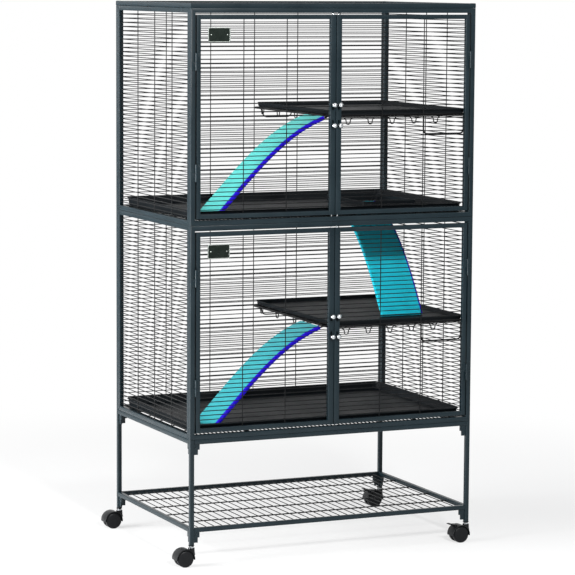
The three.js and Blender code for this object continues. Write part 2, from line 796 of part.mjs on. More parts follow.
// A foot tab on a cross pin above the wheel.
function brakeLever() {
  const { x, z } = brakePivot
  const { reach, tip, width, root, rise } = brakeTab
  const pinEnd = brakeEar.inner + brakeEar.thickness - seatGap
  const barrelEnd = brakeEar.inner - seatGap
  const pin = rod([x, -pinEnd, z], [x, pinEnd, z], brakePinRadius, 8)
  const barrel = rod([x, -barrelEnd, z], [x, barrelEnd, z], brakeBarrelRadius, 10)
  const tab = new THREE.Shape()
  tab.moveTo(0, -root)
  tab.lineTo(-reach, rise - 2 * root)
  tab.quadraticCurveTo(-tip, rise - root, overlap - tip, rise)
  tab.lineTo(-reach, rise)
  tab.lineTo(0, root)
  tab.closePath()
  return join([pin, barrel, placed(plate(tab, width), [x, 0, z], upright)])
}

// Two wheels on one axle, turned about Y.
function castorWheel() {
  const half = wheelWidth / 2
  const channel = wheelChannel / 2
  const profile = [[0, -half], [wheelRadius, -half], [wheelRadius, -channel], [axleRadius, -channel],
    [axleRadius, channel], [wheelRadius, channel], [wheelRadius, half], [0, half]]
  const points = profile.map(([radius, y]) => new THREE.Vector2(radius, y))
  const lathe = new THREE.LatheGeometry(points, wheelSides)
  lathe.rotateY(Math.PI / 2 + Math.PI / wheelSides)
  lathe.translate(...wheelAt)
  return solidOf(lathe)
}

// ---- assembly ----

const hole = {
  x: [shelfRight - rampHole.fromShelfEnd - rampWidth - 2 * rampHole.side, shelfRight - rampHole.fromShelfEnd],
  y: [rampHole.front, rampHole.back],
}

function cageUnit(level, base, floorHole) {
  const unit = new THREE.Group()
  unit.position.z = base
  const front = standUp(new THREE.Group(), 0, frontFace - halfDepth, 0, 0)
  front.add(node(`${level}_front_frame`, frontFrame(), powderCoat))
  for (const [name, side] of [['left', -1], ['right', 1]]) {
    front.add(node(`${level}_${name}_door`, door(side), powderCoat))
    front.add(node(`${level}_${name}_latch_top`, latch(side, 1), chrome))
    front.add(node(`${level}_${name}_latch_bottom`, latch(side, -1), chrome))
  }
  unit.add(front)
  const sideLength = cageDepth - 2 * frameTube - 2 * seatGap
  const sideX = halfWidth - frameTube / 2
  for (const [name, side] of [['left', -1], ['right', 1]]) {
    const solid = wirePanel(sideLength, unitHeight, sideUprights, 1)
    const panel = node(`${level}_${name}_panel`, solid, powderCoat)
    unit.add(standUp(panel, side * sideX, 0, 0, side * Math.PI / 2))
  }
  const backSolid = wirePanel(cageWidth, unitHeight, backUprights, sparse.back)
  const back = node(`${level}_back_panel`, backSolid, powderCoat)
  unit.add(standUp(back, 0, halfDepth - frameTube / 2, 0, Math.PI))
  unit.add(node(`${level}_floor_grid`, floorGrid(floorHole), wireCoat))
  unit.add(node(`${level}_floor_pan`, floorPan(floorHole), panPlastic))
  unit.add(node(`${level}_shelf`, shelfFrame(), wireCoat))
  unit.add(node(`${level}_toy_rail`, toyRail(), wireCoat))
  unit.add(node(`${level}_shelf_pan`, shelfPan(), panPlastic))
  return unit
}

// A ramp hooked on a bar, falling towards +X, or turned about Z at its bar.
function ramp(name, curve, bar, turn) {
  const group = new THREE.Group()
  group.add(node(`${name}_ramp_frame`, rampFrame(curve, bar), wireCoat))
  group.add(node(`${name}_ramp_cover`, rampCover(curve), fabric))
  return standUp(group, bar.x, bar.y, bar.z, turn)
}

function sideRamps() {
  const panFloor = panBottom + panWall + seatGap
  const panInside = panOuter.x[0] + panLip + panWall + panDraft
  const { leave, land, wrap } = sideRampBend
  const radius = shelfRodRadius
  const run = shelfRodX.left - panInside - sideRampFootClear
  const curve = rampCurve({ radius, run, drop: shelfRodZ - panFloor, leave, land })
  return [['lower', lowerBase], ['upper', upperBase]].map(([level, base]) => {
    const y = sideRampInset[level] - halfDepth + rampWidth / 2
    const bar = { x: shelfRodX.left, y, z: base + shelfRodZ, radius, wrap }
    return ramp(level, curve, bar, Math.PI)
  })
}

// The middle ramp hangs on the bar behind the floor's hole, and stands in the lower shelf's pan.
function middleRamp() {
  const shelfPanFloor = shelfTop + seatGap + shelfPanWall + seatGap
  const { leave, land, wrap } = middleRampBend
  const radius = gridBar / 2 * Math.SQRT2
  const bar = {
    x: (hole.x[0] + hole.x[1]) / 2, y: hole.y[1] + gridBar / 2, z: upperBase + gridMiddle, radius, wrap,
  }
  const drop = bar.z - lowerBase - shelfPanFloor
  const curve = rampCurve({ radius, run: middleRampRun, drop, leave, land })
  return ramp('middle', curve, bar, -Math.PI / 2)
}

function castor(place, sideX) {
  const braked = sideX > 0
  const parts = [node(`castor_socket_${place}`, castorSocket(), castorPlastic),
    node(`castor_fork_${place}`, castorFork(braked), castorPlastic),
    node(`castor_wheel_${place}`, castorWheel(), castorPlastic)]
  if (braked) parts.push(node(`castor_brake_${place}`, brakeLever(), castorPlastic))
  return parts
}

function stand() {
  const group = new THREE.Group()
  const railZ = standTop - standTube / 2
  for (const [depth, sideY] of [['front', -1], ['back', 1]]) {
    for (const [width, sideX] of [['left', -1], ['right', 1]]) {
      const place = `${depth}_${width}`
      const corner = new THREE.Group()
      corner.position.set(sideX * legCentre.x, sideY * legCentre.y, 0)
      corner.add(node(`leg_${place}`, standLeg(), powderCoat), ...castor(place, sideX))
      group.add(corner)
    }
    const rail = node(`stand_rail_${depth}`, standRail(railLength.x), powderCoat)
    rail.position.set(0, sideY * legCentre.y, railZ)
    group.add(rail)
  }
  for (const [width, sideX] of [['left', -1], ['right', 1]]) {
    const rail = node(`stand_rail_${width}`, standRail(railLength.y), powderCoat)
    rail.rotation.z = Math.PI / 2
    rail.position.set(sideX * legCentre.x, 0, railZ)
    group.add(rail)
  }
  const storage = node('storage_shelf', storageShelf(), powderCoat)
  storage.position.z = legBottom + storageRise - standTube / 2
  group.add(storage)
  return group
}

function roof() {
  const solid = wirePanel(cageDepth, cageWidth, topUprights, sparse.flat)
  const panel = node('roof_panel', solid, powderCoat)
  panel.rotation.z = Math.PI / 2
  panel.position.set(halfWidth, 0, roofBase + frameTube / 2)
  return panel
}

const cage = new THREE.Group()
cage.add(stand())
cage.add(cageUnit('lower', lowerBase, null))
cage.add(cageUnit('upper', upperBase, hole))
cage.add(roof())
cage.add(...sideRamps())
cage.add(middleRamp())

// The origin is the middle of the footprint, on the floor.
const bounds = new THREE.Box3().setFromObject(cage)
const middle = bounds.getCenter(new THREE.Vector3())
cage.position.set(-middle.x, -middle.y, -bounds.min.z)

export default cage
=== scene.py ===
# A two-storey wire ferret cage on castors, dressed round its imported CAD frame.
# Lengths are millimetres, measured from the middle of the cage's footprint on the floor,
# unless a note says otherwise; makePiece turns them into Blender's metres.
import json
import math

import bmesh
import bpy
import numpy as np
from mathutils import Matrix, Vector

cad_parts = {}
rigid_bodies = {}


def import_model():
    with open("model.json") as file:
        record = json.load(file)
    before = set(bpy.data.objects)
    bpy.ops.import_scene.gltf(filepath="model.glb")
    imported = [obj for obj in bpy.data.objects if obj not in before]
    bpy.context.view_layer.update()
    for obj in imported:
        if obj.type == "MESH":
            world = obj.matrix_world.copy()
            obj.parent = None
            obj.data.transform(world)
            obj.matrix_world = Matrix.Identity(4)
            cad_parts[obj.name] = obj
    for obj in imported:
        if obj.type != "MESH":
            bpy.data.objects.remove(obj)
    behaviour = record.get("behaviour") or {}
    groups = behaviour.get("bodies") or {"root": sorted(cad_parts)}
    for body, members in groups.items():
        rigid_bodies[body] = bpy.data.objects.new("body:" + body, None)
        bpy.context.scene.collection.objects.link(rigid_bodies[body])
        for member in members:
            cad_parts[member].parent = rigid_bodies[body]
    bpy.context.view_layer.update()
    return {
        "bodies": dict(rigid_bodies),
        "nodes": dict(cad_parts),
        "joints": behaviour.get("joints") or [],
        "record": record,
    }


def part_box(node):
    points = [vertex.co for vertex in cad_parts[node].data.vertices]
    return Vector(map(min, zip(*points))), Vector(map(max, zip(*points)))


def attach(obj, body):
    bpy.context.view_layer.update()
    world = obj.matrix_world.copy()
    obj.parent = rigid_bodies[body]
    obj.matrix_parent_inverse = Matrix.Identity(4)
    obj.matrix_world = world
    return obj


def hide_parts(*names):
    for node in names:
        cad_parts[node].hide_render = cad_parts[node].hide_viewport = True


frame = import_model()
mm = 0.001
roofLow, roofHigh = (np.array(corner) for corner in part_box("roof_panel"))
cageMiddle = (roofLow + roofHigh) / 2 * (1, 1, 0)
inchHalf = 12.7
levels = {name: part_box(f"{name}_front_frame")[0].z / mm for name in ("lower", "upper")}
roofBase = roofLow[2] / mm
cage = {"width": 914.0, "depth": 610.0, "unit": 622.0, "tube": 14.0, "corner": 1.6}
halfWidth, halfDepth = cage["width"] / 2, cage["depth"] / 2
print("frame loaded")


# Shapes: each is a grid of points, or a profile carried along a path.

def unit(vectors):
    # Each vector divided by its length.
    return vectors / np.linalg.norm(vectors, axis=-1, keepdims=True)


def spokes(angle):
    # Points on a circle of radius one: (cos a, sin a).
    return np.stack([np.cos(angle), np.sin(angle)], -1)


def runningLength(points):
    # The distance along a path at each of its points.
    return np.concatenate([[0], np.cumsum(np.linalg.norm(np.diff(points, axis=0), axis=1))])


def gridQuads(rows, columns, wrapRows=False, wrapColumns=True):
    # Joins each point of a grid to its neighbours in the next row and column.
    r = np.arange(rows if wrapRows else rows - 1)[:, None]
    c = np.arange(columns if wrapColumns else columns - 1)[None, :]
    nextR, nextC = (r + 1) % rows, (c + 1) % columns
    corners = [r * columns + c, r * columns + nextC, nextR * columns + nextC, nextR * columns + c]
    return np.stack(np.broadcast_arrays(*corners), -1).reshape(-1, 4)


def shell(points, wrapRows=False):
    # A closed skin over rings of points: row i is one ring, and the end rings are capped.
    rows, columns = points.shape[:2]
    polygons = [gridQuads(rows, columns, wrapRows)]
    if not wrapRows:
        cap = np.arange(columns)[None, :]
        polygons += [cap[:, ::-1], cap + (rows - 1) * columns]
    return points.reshape(-1, 3), polygons


def sweep(path, profile, normal, closed=False):
    # A flat profile (u, v) along a flat path: point = path + across * u * stretch + normal * v,
    # where across halves each bend, so the corners are mitred.
    path, normal = np.asarray(path, float), unit(np.asarray(normal, float))
    steps = np.roll(path, -1, 0) - path
    if not closed:
        steps[-1] = steps[-2]
    after = unit(np.cross(steps, normal))
    before = np.roll(after, 1, 0)
    if not closed:
        before[0] = after[0]
    across = unit(before + after)
    stretch = 1 / np.sum(across * after, -1, keepdims=True)
    u, v = profile[:, 0][None, :, None], profile[:, 1][None, :, None]
    return shell(path[:, None] + u * (across * stretch)[:, None] + v * normal, closed)


def rods(starts, ends, radius, sides=8):
    # Straight round wires: start + t (end - start) + radius (across cos a + upward sin a).
    starts, ends = np.atleast_2d(starts).astype(float), np.atleast_2d(ends).astype(float)
    along = unit(ends - starts)
    helper = np.where(np.abs(along[:, 2:]) < 0.9, [[0.0, 0.0, 1.0]], [[1.0, 0.0, 0.0]])
    across = unit(np.cross(along, helper))
    upward = np.cross(across, along)
    angle = 2 * np.pi * (np.arange(sides) + 0.5) / sides
    ring = radius * (across[:, None] * np.cos(angle)[None, :, None]
                     + upward[:, None] * np.sin(angle)[None, :, None])
    points = np.stack([starts[:, None] + ring, ends[:, None] + ring], 1)
    first = 2 * sides * np.arange(len(starts))[:, None, None]
    walls = (gridQuads(2, sides)[None] + first).reshape(-1, 4)
    cap = np.arange(sides)[None, None, :]
    caps = np.concatenate([cap[..., ::-1] + first, cap + sides + first]).reshape(-1, sides)
    return points.reshape(-1, 3), [walls, caps]


def lathe(profile, centre, axis, sides=32):
    # A profile of (radius, height) turned about an axis through the centre.
    axis = unit(np.asarray(axis, float))
    across = unit(np.cross(axis, [0.3, 0.2, 1.0] if abs(axis[2]) < 0.9 else [1.0, 0.1, 0.0]))
    upward = np.cross(axis, across)
    angle = 2 * np.pi * np.arange(sides) / sides
    radius, height = np.asarray(profile, float).T[:, :, None, None]
    ring = across * np.cos(angle)[:, None] + upward * np.sin(angle)[:, None]
    return shell(np.asarray(centre, float) + radius * ring + height * axis)


def roundedLoop(x, y, radius, steps=3):
    # A rectangle with round corners, anticlockwise.
    turn = np.linspace(0, np.pi / 2, steps + 1)
    corners = [(x[1], y[1], 0), (x[0], y[1], 1), (x[0], y[0], 2), (x[1], y[0], 3)]
    loop = []
    for cornerX, cornerY, quarter in corners:
        inX = cornerX - np.sign(cornerX - np.mean(x)) * radius
        inY = cornerY - np.sign(cornerY - np.mean(y)) * radius
        loop.append((inX, inY) + radius * spokes(turn + quarter * np.pi / 2))
    return np.concatenate(loop)


def tubeProfile(width, depth, radius=cage["corner"], steps=3):
    # The section of a tube: a width by depth rectangle with round corners.
    return roundedLoop((-width / 2, width / 2), (-depth / 2, depth / 2), radius, steps)


def circle(radius, sides=10):
    # The section of a round wire.
    return radius * spokes(2 * np.pi * np.arange(sides) / sides)


def bar(start, end, width, depth, normal, radius=cage["corner"], steps=3):
    # One straight length of tube: its section swept from start to end.
    return sweep([start, end], tubeProfile(width, depth, radius, steps), normal)


def filleted(corners, radius, steps=6):
    # Rounds each inner corner of a path with a quadratic curve between points `radius` away.
    corners = np.asarray(corners, float)
    t = np.linspace(0, 1, steps + 1)[:, None]
    path = [corners[:1]]
    for before, corner, after in zip(corners, corners[1:], corners[2:]):
        first = corner + radius * unit(before - corner)
        last = corner + radius * unit(after - corner)
        path.append((1 - t) ** 2 * first + 2 * t * (1 - t) * corner + t ** 2 * last)
    return np.concatenate(path + [corners[-1:]])


def plateShell(outline, thickness, bevel=0.5):
    # A flat outline with eased edges: rings at the faces are drawn in by the bevel.
    outline = np.asarray(outline, float)
    outline = outline if areaOf(outline) > 0 else outline[::-1]
    inner = drawnIn(outline, bevel)
    half = thickness / 2
    rings = [(inner, -half), (outline, bevel - half), (outline, half - bevel), (inner, half)]
    return shell(np.stack([np.column_stack([ring, np.full(len(ring), z)]) for ring, z in rings]))


def areaOf(outline):
    # Half the sum of x * next y - y * next x: positive for an anticlockwise outline.
    x, y = outline.T
    return 0.5 * np.sum(x * np.roll(y, -1) - y * np.roll(x, -1))


def drawnIn(outline, inset):
    # Moves each side of an anticlockwise outline inwards by the inset.
    after = unit(np.roll(outline, -1, 0) - outline)
    inwardAfter = np.stack([-after[:, 1], after[:, 0]], -1)
    inwardBefore = np.roll(inwardAfter, 1, 0)
    middle = unit(inwardBefore + inwardAfter)
    return outline + inset * middle / np.sum(middle * inwardAfter, -1, keepdims=True)


def turned(part, axis, degrees):
    # Rotated about an axis through the origin.
    points, polygons = part
    turn = np.array(Matrix.Rotation(math.radians(degrees), 3, axis))
    return points @ turn.T, polygons


def moved(part, x=0.0, y=0.0, z=0.0):
    # Shifted by (x, y, z).
    points, polygons = part
    return points + (x, y, z), polygons


def allMoved(parts, x=0.0, y=0.0, z=0.0):
    # Every part of a piece shifted by (x, y, z).
    return [moved(part, x, y, z) for part in parts]


def stoodUp(parts, x, y, z, degrees):
    # From a panel's own axes (across, up, outwards) to a wall that faces `degrees` from the front.
    return [moved(turned(turned(part, "X", 90), "Z", degrees), x, y, z) for part in parts]


def fill(mesh, parts):
    # One mesh of all the parts: each part's corners count on from the points before it.
    points = np.concatenate([p for p, _ in parts])
    firsts = np.cumsum([0] + [len(p) for p, _ in parts[:-1]])
    groups = [group + first for (_, polygons), first in zip(parts, firsts) for group in polygons]
    corners = np.concatenate([group.ravel() for group in groups])
    sizes = np.concatenate([np.full(len(group), group.shape[1]) for group in groups])
    mesh.vertices.add(len(points))
    mesh.vertices.foreach_set("co", (points * mm + cageMiddle).ravel())
    mesh.loops.add(len(corners))
    mesh.loops.foreach_set("vertex_index", corners.astype(np.int32))
    mesh.polygons.add(len(sizes))
    starts = np.concatenate([[0], np.cumsum(sizes)[:-1]])
    mesh.polygons.foreach_set("loop_start", starts.astype(np.int32))
    mesh.update(calc_edges=True)


def makePiece(name, parts, material, body, replaces=(), slot=None, sharp=35, uv=None):
    # One object from closed skins, facing outwards, smooth up to the sharp angle.
    mesh = bpy.data.meshes.new(name)
    fill(mesh, parts)
    skin = bmesh.new()
    skin.from_mesh(mesh)
    bmesh.ops.recalc_face_normals(skin, faces=skin.faces)
    skin.to_mesh(mesh)
    skin.free()
    mesh.polygons.foreach_set("use_smooth", np.ones(len(mesh.polygons), bool))
    mesh.set_sharp_from_angle(angle=math.radians(sharp))
    if uv is not None:
        layer = mesh.uv_layers.new(name="cloth")
        index = np.zeros(len(mesh.loops), np.int32)
        mesh.loops.foreach_get("vertex_index", index)
        layer.uv.foreach_set("vector", uv[index].ravel())
    mesh.materials.append(material)
    piece = bpy.data.objects.new(name, mesh)
    bpy.context.scene.collection.objects.link(piece)
    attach(piece, body)
    if replaces:
        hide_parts(*replaces)
    return piece


def linear(hexText):
    # Screen tone to light: c / 12.92 near black, else ((c + 0.055) / 1.055) ^ 2.4.
    srgb = np.array([int(hexText[i:i + 2], 16) for i in (1, 3, 5)]) / 255
    value = np.where(srgb <= 0.04045, srgb / 12.92, ((srgb + 0.055) / 1.055) ** 2.4)
    return (*value, 1.0)


def addNode(tree, kind, sockets=None, **settings):
    # A node with its settings, and its sockets either set or linked from another node's output.
    node = tree.nodes.new(kind)
    for name, value in settings.items():
        setattr(node, name, value)
    for name, value in (sockets or {}).items():
        if isinstance(value, bpy.types.NodeSocket):
            tree.links.new(value, node.inputs[name])
        else:
            node.inputs[name].default_value = value
    return node


def combined(tree, operation, first, second):
    # One value from two: their product, sum or maximum.
    node = addNode(tree, "ShaderNodeMath", {0: first, 1: second}, operation=operation)
    return node.outputs["Value"]


def startMaterial(name, sockets):
    # A principled finish whose even values stand on the shader's own sockets.
    material = bpy.data.materials.new(name)
    material.use_nodes = True
    tree = material.node_tree
    shader = tree.nodes["Principled BSDF"]
    for socket, value in sockets.items():
        shader.inputs[socket].default_value = value
    place = addNode(tree, "ShaderNodeTexCoord")
    return material, tree, shader, place


def hardFinish(name, tones, patch, roughness, grain, relief, sockets):
    # Two tones in soft patches, roughness that drifts with them, and a fine surface grain.
    # patch and grain are sizes and relief a height, in millimetres.
    material, tree, shader, place = startMaterial(name, sockets)
    where = place.outputs["Object"]
    patches = addNode(tree, "ShaderNodeTexNoise",
                      {"Vector": where, "Scale": 1000 / patch, "Detail": 4.0})
    tone = addNode(tree, "ShaderNodeMixRGB", {"Fac": patches.outputs["Fac"], "Color1": linear(tones[0]),
                                              "Color2": linear(tones[1])})
    rough = addNode(tree, "ShaderNodeMapRange",
                    {"Value": patches.outputs["Fac"], "From Min": 0.3, "From Max": 0.7,
                     "To Min": roughness[0], "To Max": roughness[1]})
    speckle = addNode(tree, "ShaderNodeTexNoise",
                      {"Vector": where, "Scale": 1000 / grain, "Detail": 2.0})
    bump = addNode(tree, "ShaderNodeBump", {"Height": speckle.outputs["Fac"], "Distance": relief * mm,
                                            "Strength": 1.0})
    tree.links.new(tone.outputs["Color"], shader.inputs["Base Color"])
    tree.links.new(rough.outputs["Result"], shader.inputs["Roughness"])
    tree.links.new(bump.outputs["Normal"], shader.inputs["Normal"])
    return material


# Polyester powder coat on steel tube: an even slate film with a faint orange peel.
tubeCoat = hardFinish("slatePowderCoat", ("#101b20", "#18262c"), patch=90, roughness=(0.26, 0.38),
                      grain=2.2, relief=0.05, sockets={"IOR": 1.5, "Specular IOR Level": 0.2})
# The same coat on thin wire: darker, because dipped wire takes a thicker black film.
wireCoat = hardFinish("blackWireCoat", ("#060708", "#0d0f11"), patch=60, roughness=(0.35, 0.5),
                      grain=1.6, relief=0.03, sockets={"IOR": 1.5, "Specular IOR Level": 0.15})
# Vacuum-formed ABS tray: near-black satin with a moulded haircell grain.
trayPlastic = hardFinish("charcoalAbs", ("#06090c", "#0d1317"), patch=140, roughness=(0.5, 0.62),
                         grain=3.0, relief=0.06, sockets={"IOR": 1.54, "Specular IOR Level": 0.09})
# Injection-moulded nylon of the castors' hoods and wheels: black with a soft shine on its edges.
castorNylon = hardFinish("blackNylon", ("#08090b", "#0e1013"), patch=25, roughness=(0.3, 0.42),
                         grain=1.2, relief=0.04, sockets={"IOR": 1.53, "Specular IOR Level": 0.16})
# Bright zinc on the castors' stems: a pale ring under each leg.
zincPlate = hardFinish("zincPlate", ("#a9adb0", "#bfc3c6"), patch=8, roughness=(0.22, 0.36),
                       grain=0.9, relief=0.02, sockets={"Metallic": 1.0})
# Chrome on the latch knobs and rods: a mirror with a slight film of handling.
chromePlate = hardFinish("chromePlate", ("#c6cacc", "#b6babd"), patch=6, roughness=(0.08, 0.18),
                         grain=2.0, relief=0.004, sockets={"Metallic": 1.0})
# Stove enamel of the two door plates: deep green, nearly black, with an even gloss.
plateEnamel = hardFinish("darkGreenEnamel", ("#0c1410", "#131d18"), patch=20, roughness=(0.22, 0.32),
                         grain=1.5, relief=0.02, sockets={"IOR": 1.5, "Specular IOR Level": 0.2})
# The plates' plain metal edge: a thin pale line round the enamel.
plateRim = hardFinish("brushedAluminium", ("#9aa19c", "#aeb4af"), patch=5, roughness=(0.3, 0.42),
                      grain=0.8, relief=0.02, sockets={"Metallic": 1.0})


def cloth(name, tones, thread, relief, sheen, pile):
    # Woven cloth on the piece's own map in metres: warp and weft waves `thread` mm apart raise
    # the surface, and nap in patches `pile` mm across shifts its tone.
    even = {"Roughness": 0.9, "Sheen Weight": sheen, "Sheen Roughness": 0.5, "Specular IOR Level": 0.15}
    material, tree, shader, place = startMaterial(name, even)
    where = place.outputs["UV"]
    scale = 1000 / thread / 2
    waves = [addNode(tree, "ShaderNodeTexWave", {"Vector": where, "Scale": scale, "Distortion": 0.6,
                                                 "Detail": 1.0}, bands_direction=way) for way in "XY"]
    weave = combined(tree, "MULTIPLY", waves[0].outputs["Fac"], waves[1].outputs["Fac"])
    nap = addNode(tree, "ShaderNodeTexNoise", {"Vector": place.outputs["Object"], "Scale": 1000 / pile,
                                               "Detail": 5.0, "Roughness": 0.6})
    mixed = combined(tree, "ADD", nap.outputs["Fac"], weave)
    share = addNode(tree, "ShaderNodeMapRange", {"Value": mixed, "From Min": 0.3, "From Max": 1.4})
    tone = addNode(tree, "ShaderNodeMixRGB",
                   {"Fac": share.outputs["Result"], "Color1": linear(tones[0]),
                    "Color2": linear(tones[1])})
    bump = addNode(tree, "ShaderNodeBump",
                   {"Height": mixed, "Distance": relief * mm, "Strength": 1.0})
    tree.links.new(tone.outputs["Color"], shader.inputs["Base Color"])
    tree.links.new(bump.outputs["Normal"], shader.inputs["Normal"])
    return material


# Brushed polyester fleece, matt with a soft nap; real yarn is 0.5 mm, drawn at 3 mm so that it
# shows. The three ramps share one aqua, in three tones that stand for how the lamps fall: the
# lower ramp's is darker as painted shade, the upper and middle ramps' lighter as painted light.
fleece = {"thread": 3.0, "relief": 0.5, "sheen": 0.1, "pile": 14}
rampCloth = {"lower": cloth("aquaFleeceLowerPaintedShade", ("#208d96", "#2a9fa7"), **fleece),
             "upper": cloth("aquaFleeceUpperPaintedLight", ("#40aca7", "#4fbbb6"), **fleece),
             "middle": cloth("aquaFleeceMiddlePaintedLight", ("#12b6cc", "#1ac8dc"), **fleece)}
# Violet polyester binding tape: flat and dark, with ribs across it.
bindingTape = cloth("violetBindingTape", ("#1c06aa", "#2408c4"), thread=2.0, relief=0.3, sheen=0.0,
                    pile=9)
print("finishes made")


# Wire panels: a welded tube frame filled with wires half an inch apart.
wire = {"radius": 1.35, "fused": 0.15, "bite": 3.0, "sides": 8}
wireLayer = wire["radius"] - wire["fused"]


def wirePlaces(low, high, pitch=inchHalf):
    # Places one pitch apart, centred between low and high and three quarters of a pitch from both.
    count = int((high - low) / pitch - 0.5)
    return (low + high) / 2 + (np.arange(count) - (count - 1) / 2) * pitch


def dividedPlaces(low, high, count):
    # Places that divide low to high into count + 1 equal stretches.
    return low + (high - low) * np.arange(1, count + 1) / (count + 1)


def straightWires(along, places, span, layer):
    # Parallel wires in a panel: `along` is 0 for wires across it and 1 for wires up it.
    places = np.asarray(places, float)
    ends = []
    for end in span:
        point = np.zeros((len(places), 3))
        point[:, along], point[:, 1 - along], point[:, 2] = end, places, layer
        ends.append(point)
    return rods(*ends, wire["radius"], wire["sides"])


def levelWires(lines, radius=wire["radius"]):
    # Wires that lie level, from rows of (x, y, x, y, z): both ends, then their height.
    lines = np.array(lines)
    return rods(lines[:, [0, 1, 4]], lines[:, [2, 3, 4]], radius, wire["sides"])


def meshWires(x, y, uprights):
    # Close wires across a panel, with a few uprights fused on behind them.
    bite = wire["bite"]
    return [straightWires(0, wirePlaces(*y), (x[0] - bite, x[1] + bite), wireLayer),
            straightWires(1, dividedPlaces(*x, uprights), (y[0] - bite, y[1] + bite), -wireLayer)]


def tubeFrame(x, y, tube, z=0.0):
    # A mitred rectangle of tube whose outer faces lie at x and y.
    half = tube / 2
    path = [(x[0] + half, y[0] + half, z), (x[1] - half, y[0] + half, z),
            (x[1] - half, y[1] - half, z), (x[0] + half, y[1] - half, z)]
    return sweep(path, tubeProfile(tube, tube), (0, 0, 1), closed=True)


def cornerWelds(x, y, tube, z):
    # A low bead along each mitre on the outer face: a flattened round rod.
    beads = []
    for cornerX, wayX in ((x[0], 1), (x[1], -1)):
        for cornerY, wayY in ((y[0], 1), (y[1], -1)):
            start = (cornerX + wayX * 2, cornerY + wayY * 2, z)
            end = (cornerX + wayX * (tube - 2), cornerY + wayY * (tube - 2), z)
            beads.append(rods(start, end, 1.0, 8))
    return beads


def wirePanel(width, height, uprights):
    # One wall of the cage: its frame with welded corners, and the mesh that fills it.
    tube = cage["tube"]
    x, y = (-width / 2, width / 2), (0, height)
    inner = (x[0] + tube, x[1] - tube), (tube, height - tube)
    frame = [tubeFrame(x, y, tube)] + cornerWelds(x, y, tube, tube / 2 - 0.5)
    return frame, meshWires(*inner, uprights)


def twoFinishPiece(name, frameParts, wireParts, body, node):
    # A panel's tubes and its wires are one mesh with two finishes.
    piece = makePiece(name, frameParts + wireParts, tubeCoat, body, [node], "frame")
    piece.data.materials.append(wireCoat)
    tubeFaces = sum(len(group) for _, polygons in frameParts for group in polygons)
    index = np.zeros(len(piece.data.polygons), np.int32)
    index[tubeFaces:] = 1
    piece.data.polygons.foreach_set("material_index", index)
    return piece


seam = 0.3
sideLength = cage["depth"] - 2 * cage["tube"] - 2 * seam
for level, base in levels.items():
    for side, way in (("left", -1), ("right", 1)):
        tubes, wires = wirePanel(sideLength, cage["unit"], 3)
        place = (way * (halfWidth - cage["tube"] / 2), 0, base, way * 90)
        twoFinishPiece(f"{level}_{side}_wire_wall", stoodUp(tubes, *place), stoodUp(wires, *place),
                       "cage", f"{level}_{side}_panel")
    tubes, wires = wirePanel(cage["width"], cage["unit"], 5)
    place = (0, halfDepth - cage["tube"] / 2, base, 180)
    twoFinishPiece(f"{level}_back_wire_wall", stoodUp(tubes, *place), stoodUp(wires, *place),
                   "cage", f"{level}_back_panel")
tubes, wires = wirePanel(cage["depth"], cage["width"], 3)
lay = [[moved(turned(part, "Z", 90), halfWidth, 0, roofBase + cage["tube"] / 2) for part in parts]
       for parts in (tubes, wires)]
twoFinishPiece("roof_wire_lid", *lay, "cage", "roof_panel")
print("walls and roof made")


# The front: frame, doors, hinges, latches and plates.
door = {"tube": 13.0, "stile": 17.5, "wall": 1.5, "gapSide": 4.0, "gapEnd": 5.0, "gapMiddle": 1.5,
        "hingeInset": 152.0, "knuckle": 25.0, "barrel": 4.0, "leaf": 12.0, "leafThickness": 2.5}
latch = {"rod": 2.5, "throw": 13.0, "reach": 8.5, "spread": 30.0, "knob": 7.8, "standOff": 12.0,
         "stem": 1.8, "play": 0.6, "tail": 5.0}
frontFace = cage["tube"] / 2
frontY = frontFace - halfDepth
doorWidth = (cage["width"] - door["gapMiddle"]) / 2 - cage["tube"] - door["gapSide"]
doorLow = cage["tube"] + door["gapEnd"]
doorHigh = cage["unit"] - doorLow
doorPlane = frontFace - door["tube"] / 2
hingeX = halfWidth - cage["tube"] - door["gapSide"] / 2
hingeOut = frontFace + door["barrel"] + seam
latchX = (door["gapMiddle"] + door["stile"]) / 2
hingeHeights = (door["hingeInset"], cage["unit"] - door["hingeInset"])


def hingeHalf(side, low, reach):
    # A barrel with eased ends, and a leaf bent off it and spot-welded to the tube.
    x, high, radius = side * hingeX, low + door["knuckle"], door["barrel"]
    ease = 0.6
    profile = [(radius - ease, 0), (radius, ease), (radius, door["knuckle"] - ease),
               (radius - ease, door["knuckle"])]
    barrel = lathe(profile, (x, low, hingeOut), (0, 1, 0), 20)
    leafMiddle = frontFace + (door["leafThickness"] - 1) / 2
    leaf = bar((x, (low + high) / 2, leafMiddle), (x + side * reach, (low + high) / 2, leafMiddle),
               door["knuckle"] - 1, door["leafThickness"] + 1, (0, 0, 1), 0.6, 2)
    return [barrel, leaf]


def frontFrame():
    # The tube frame round both doors, with the lower half and the pin of each hinge.
    x, y = (-halfWidth, halfWidth), (0, cage["unit"])
    parts = [tubeFrame(x, y, cage["tube"])] + cornerWelds(x, y, cage["tube"], frontFace - 0.5)
    for side in (-1, 1):
        for height in hingeHeights:
            parts += hingeHalf(side, height - door["knuckle"] - seam / 2, door["leaf"])
            pin = [(1.9, 0), (1.9, door["knuckle"] - 3), (1.4, door["knuckle"] - 2.2)]
            parts.append(lathe(pin, (side * hingeX, height - 1, hingeOut), (0, 1, 0), 12))
    return parts


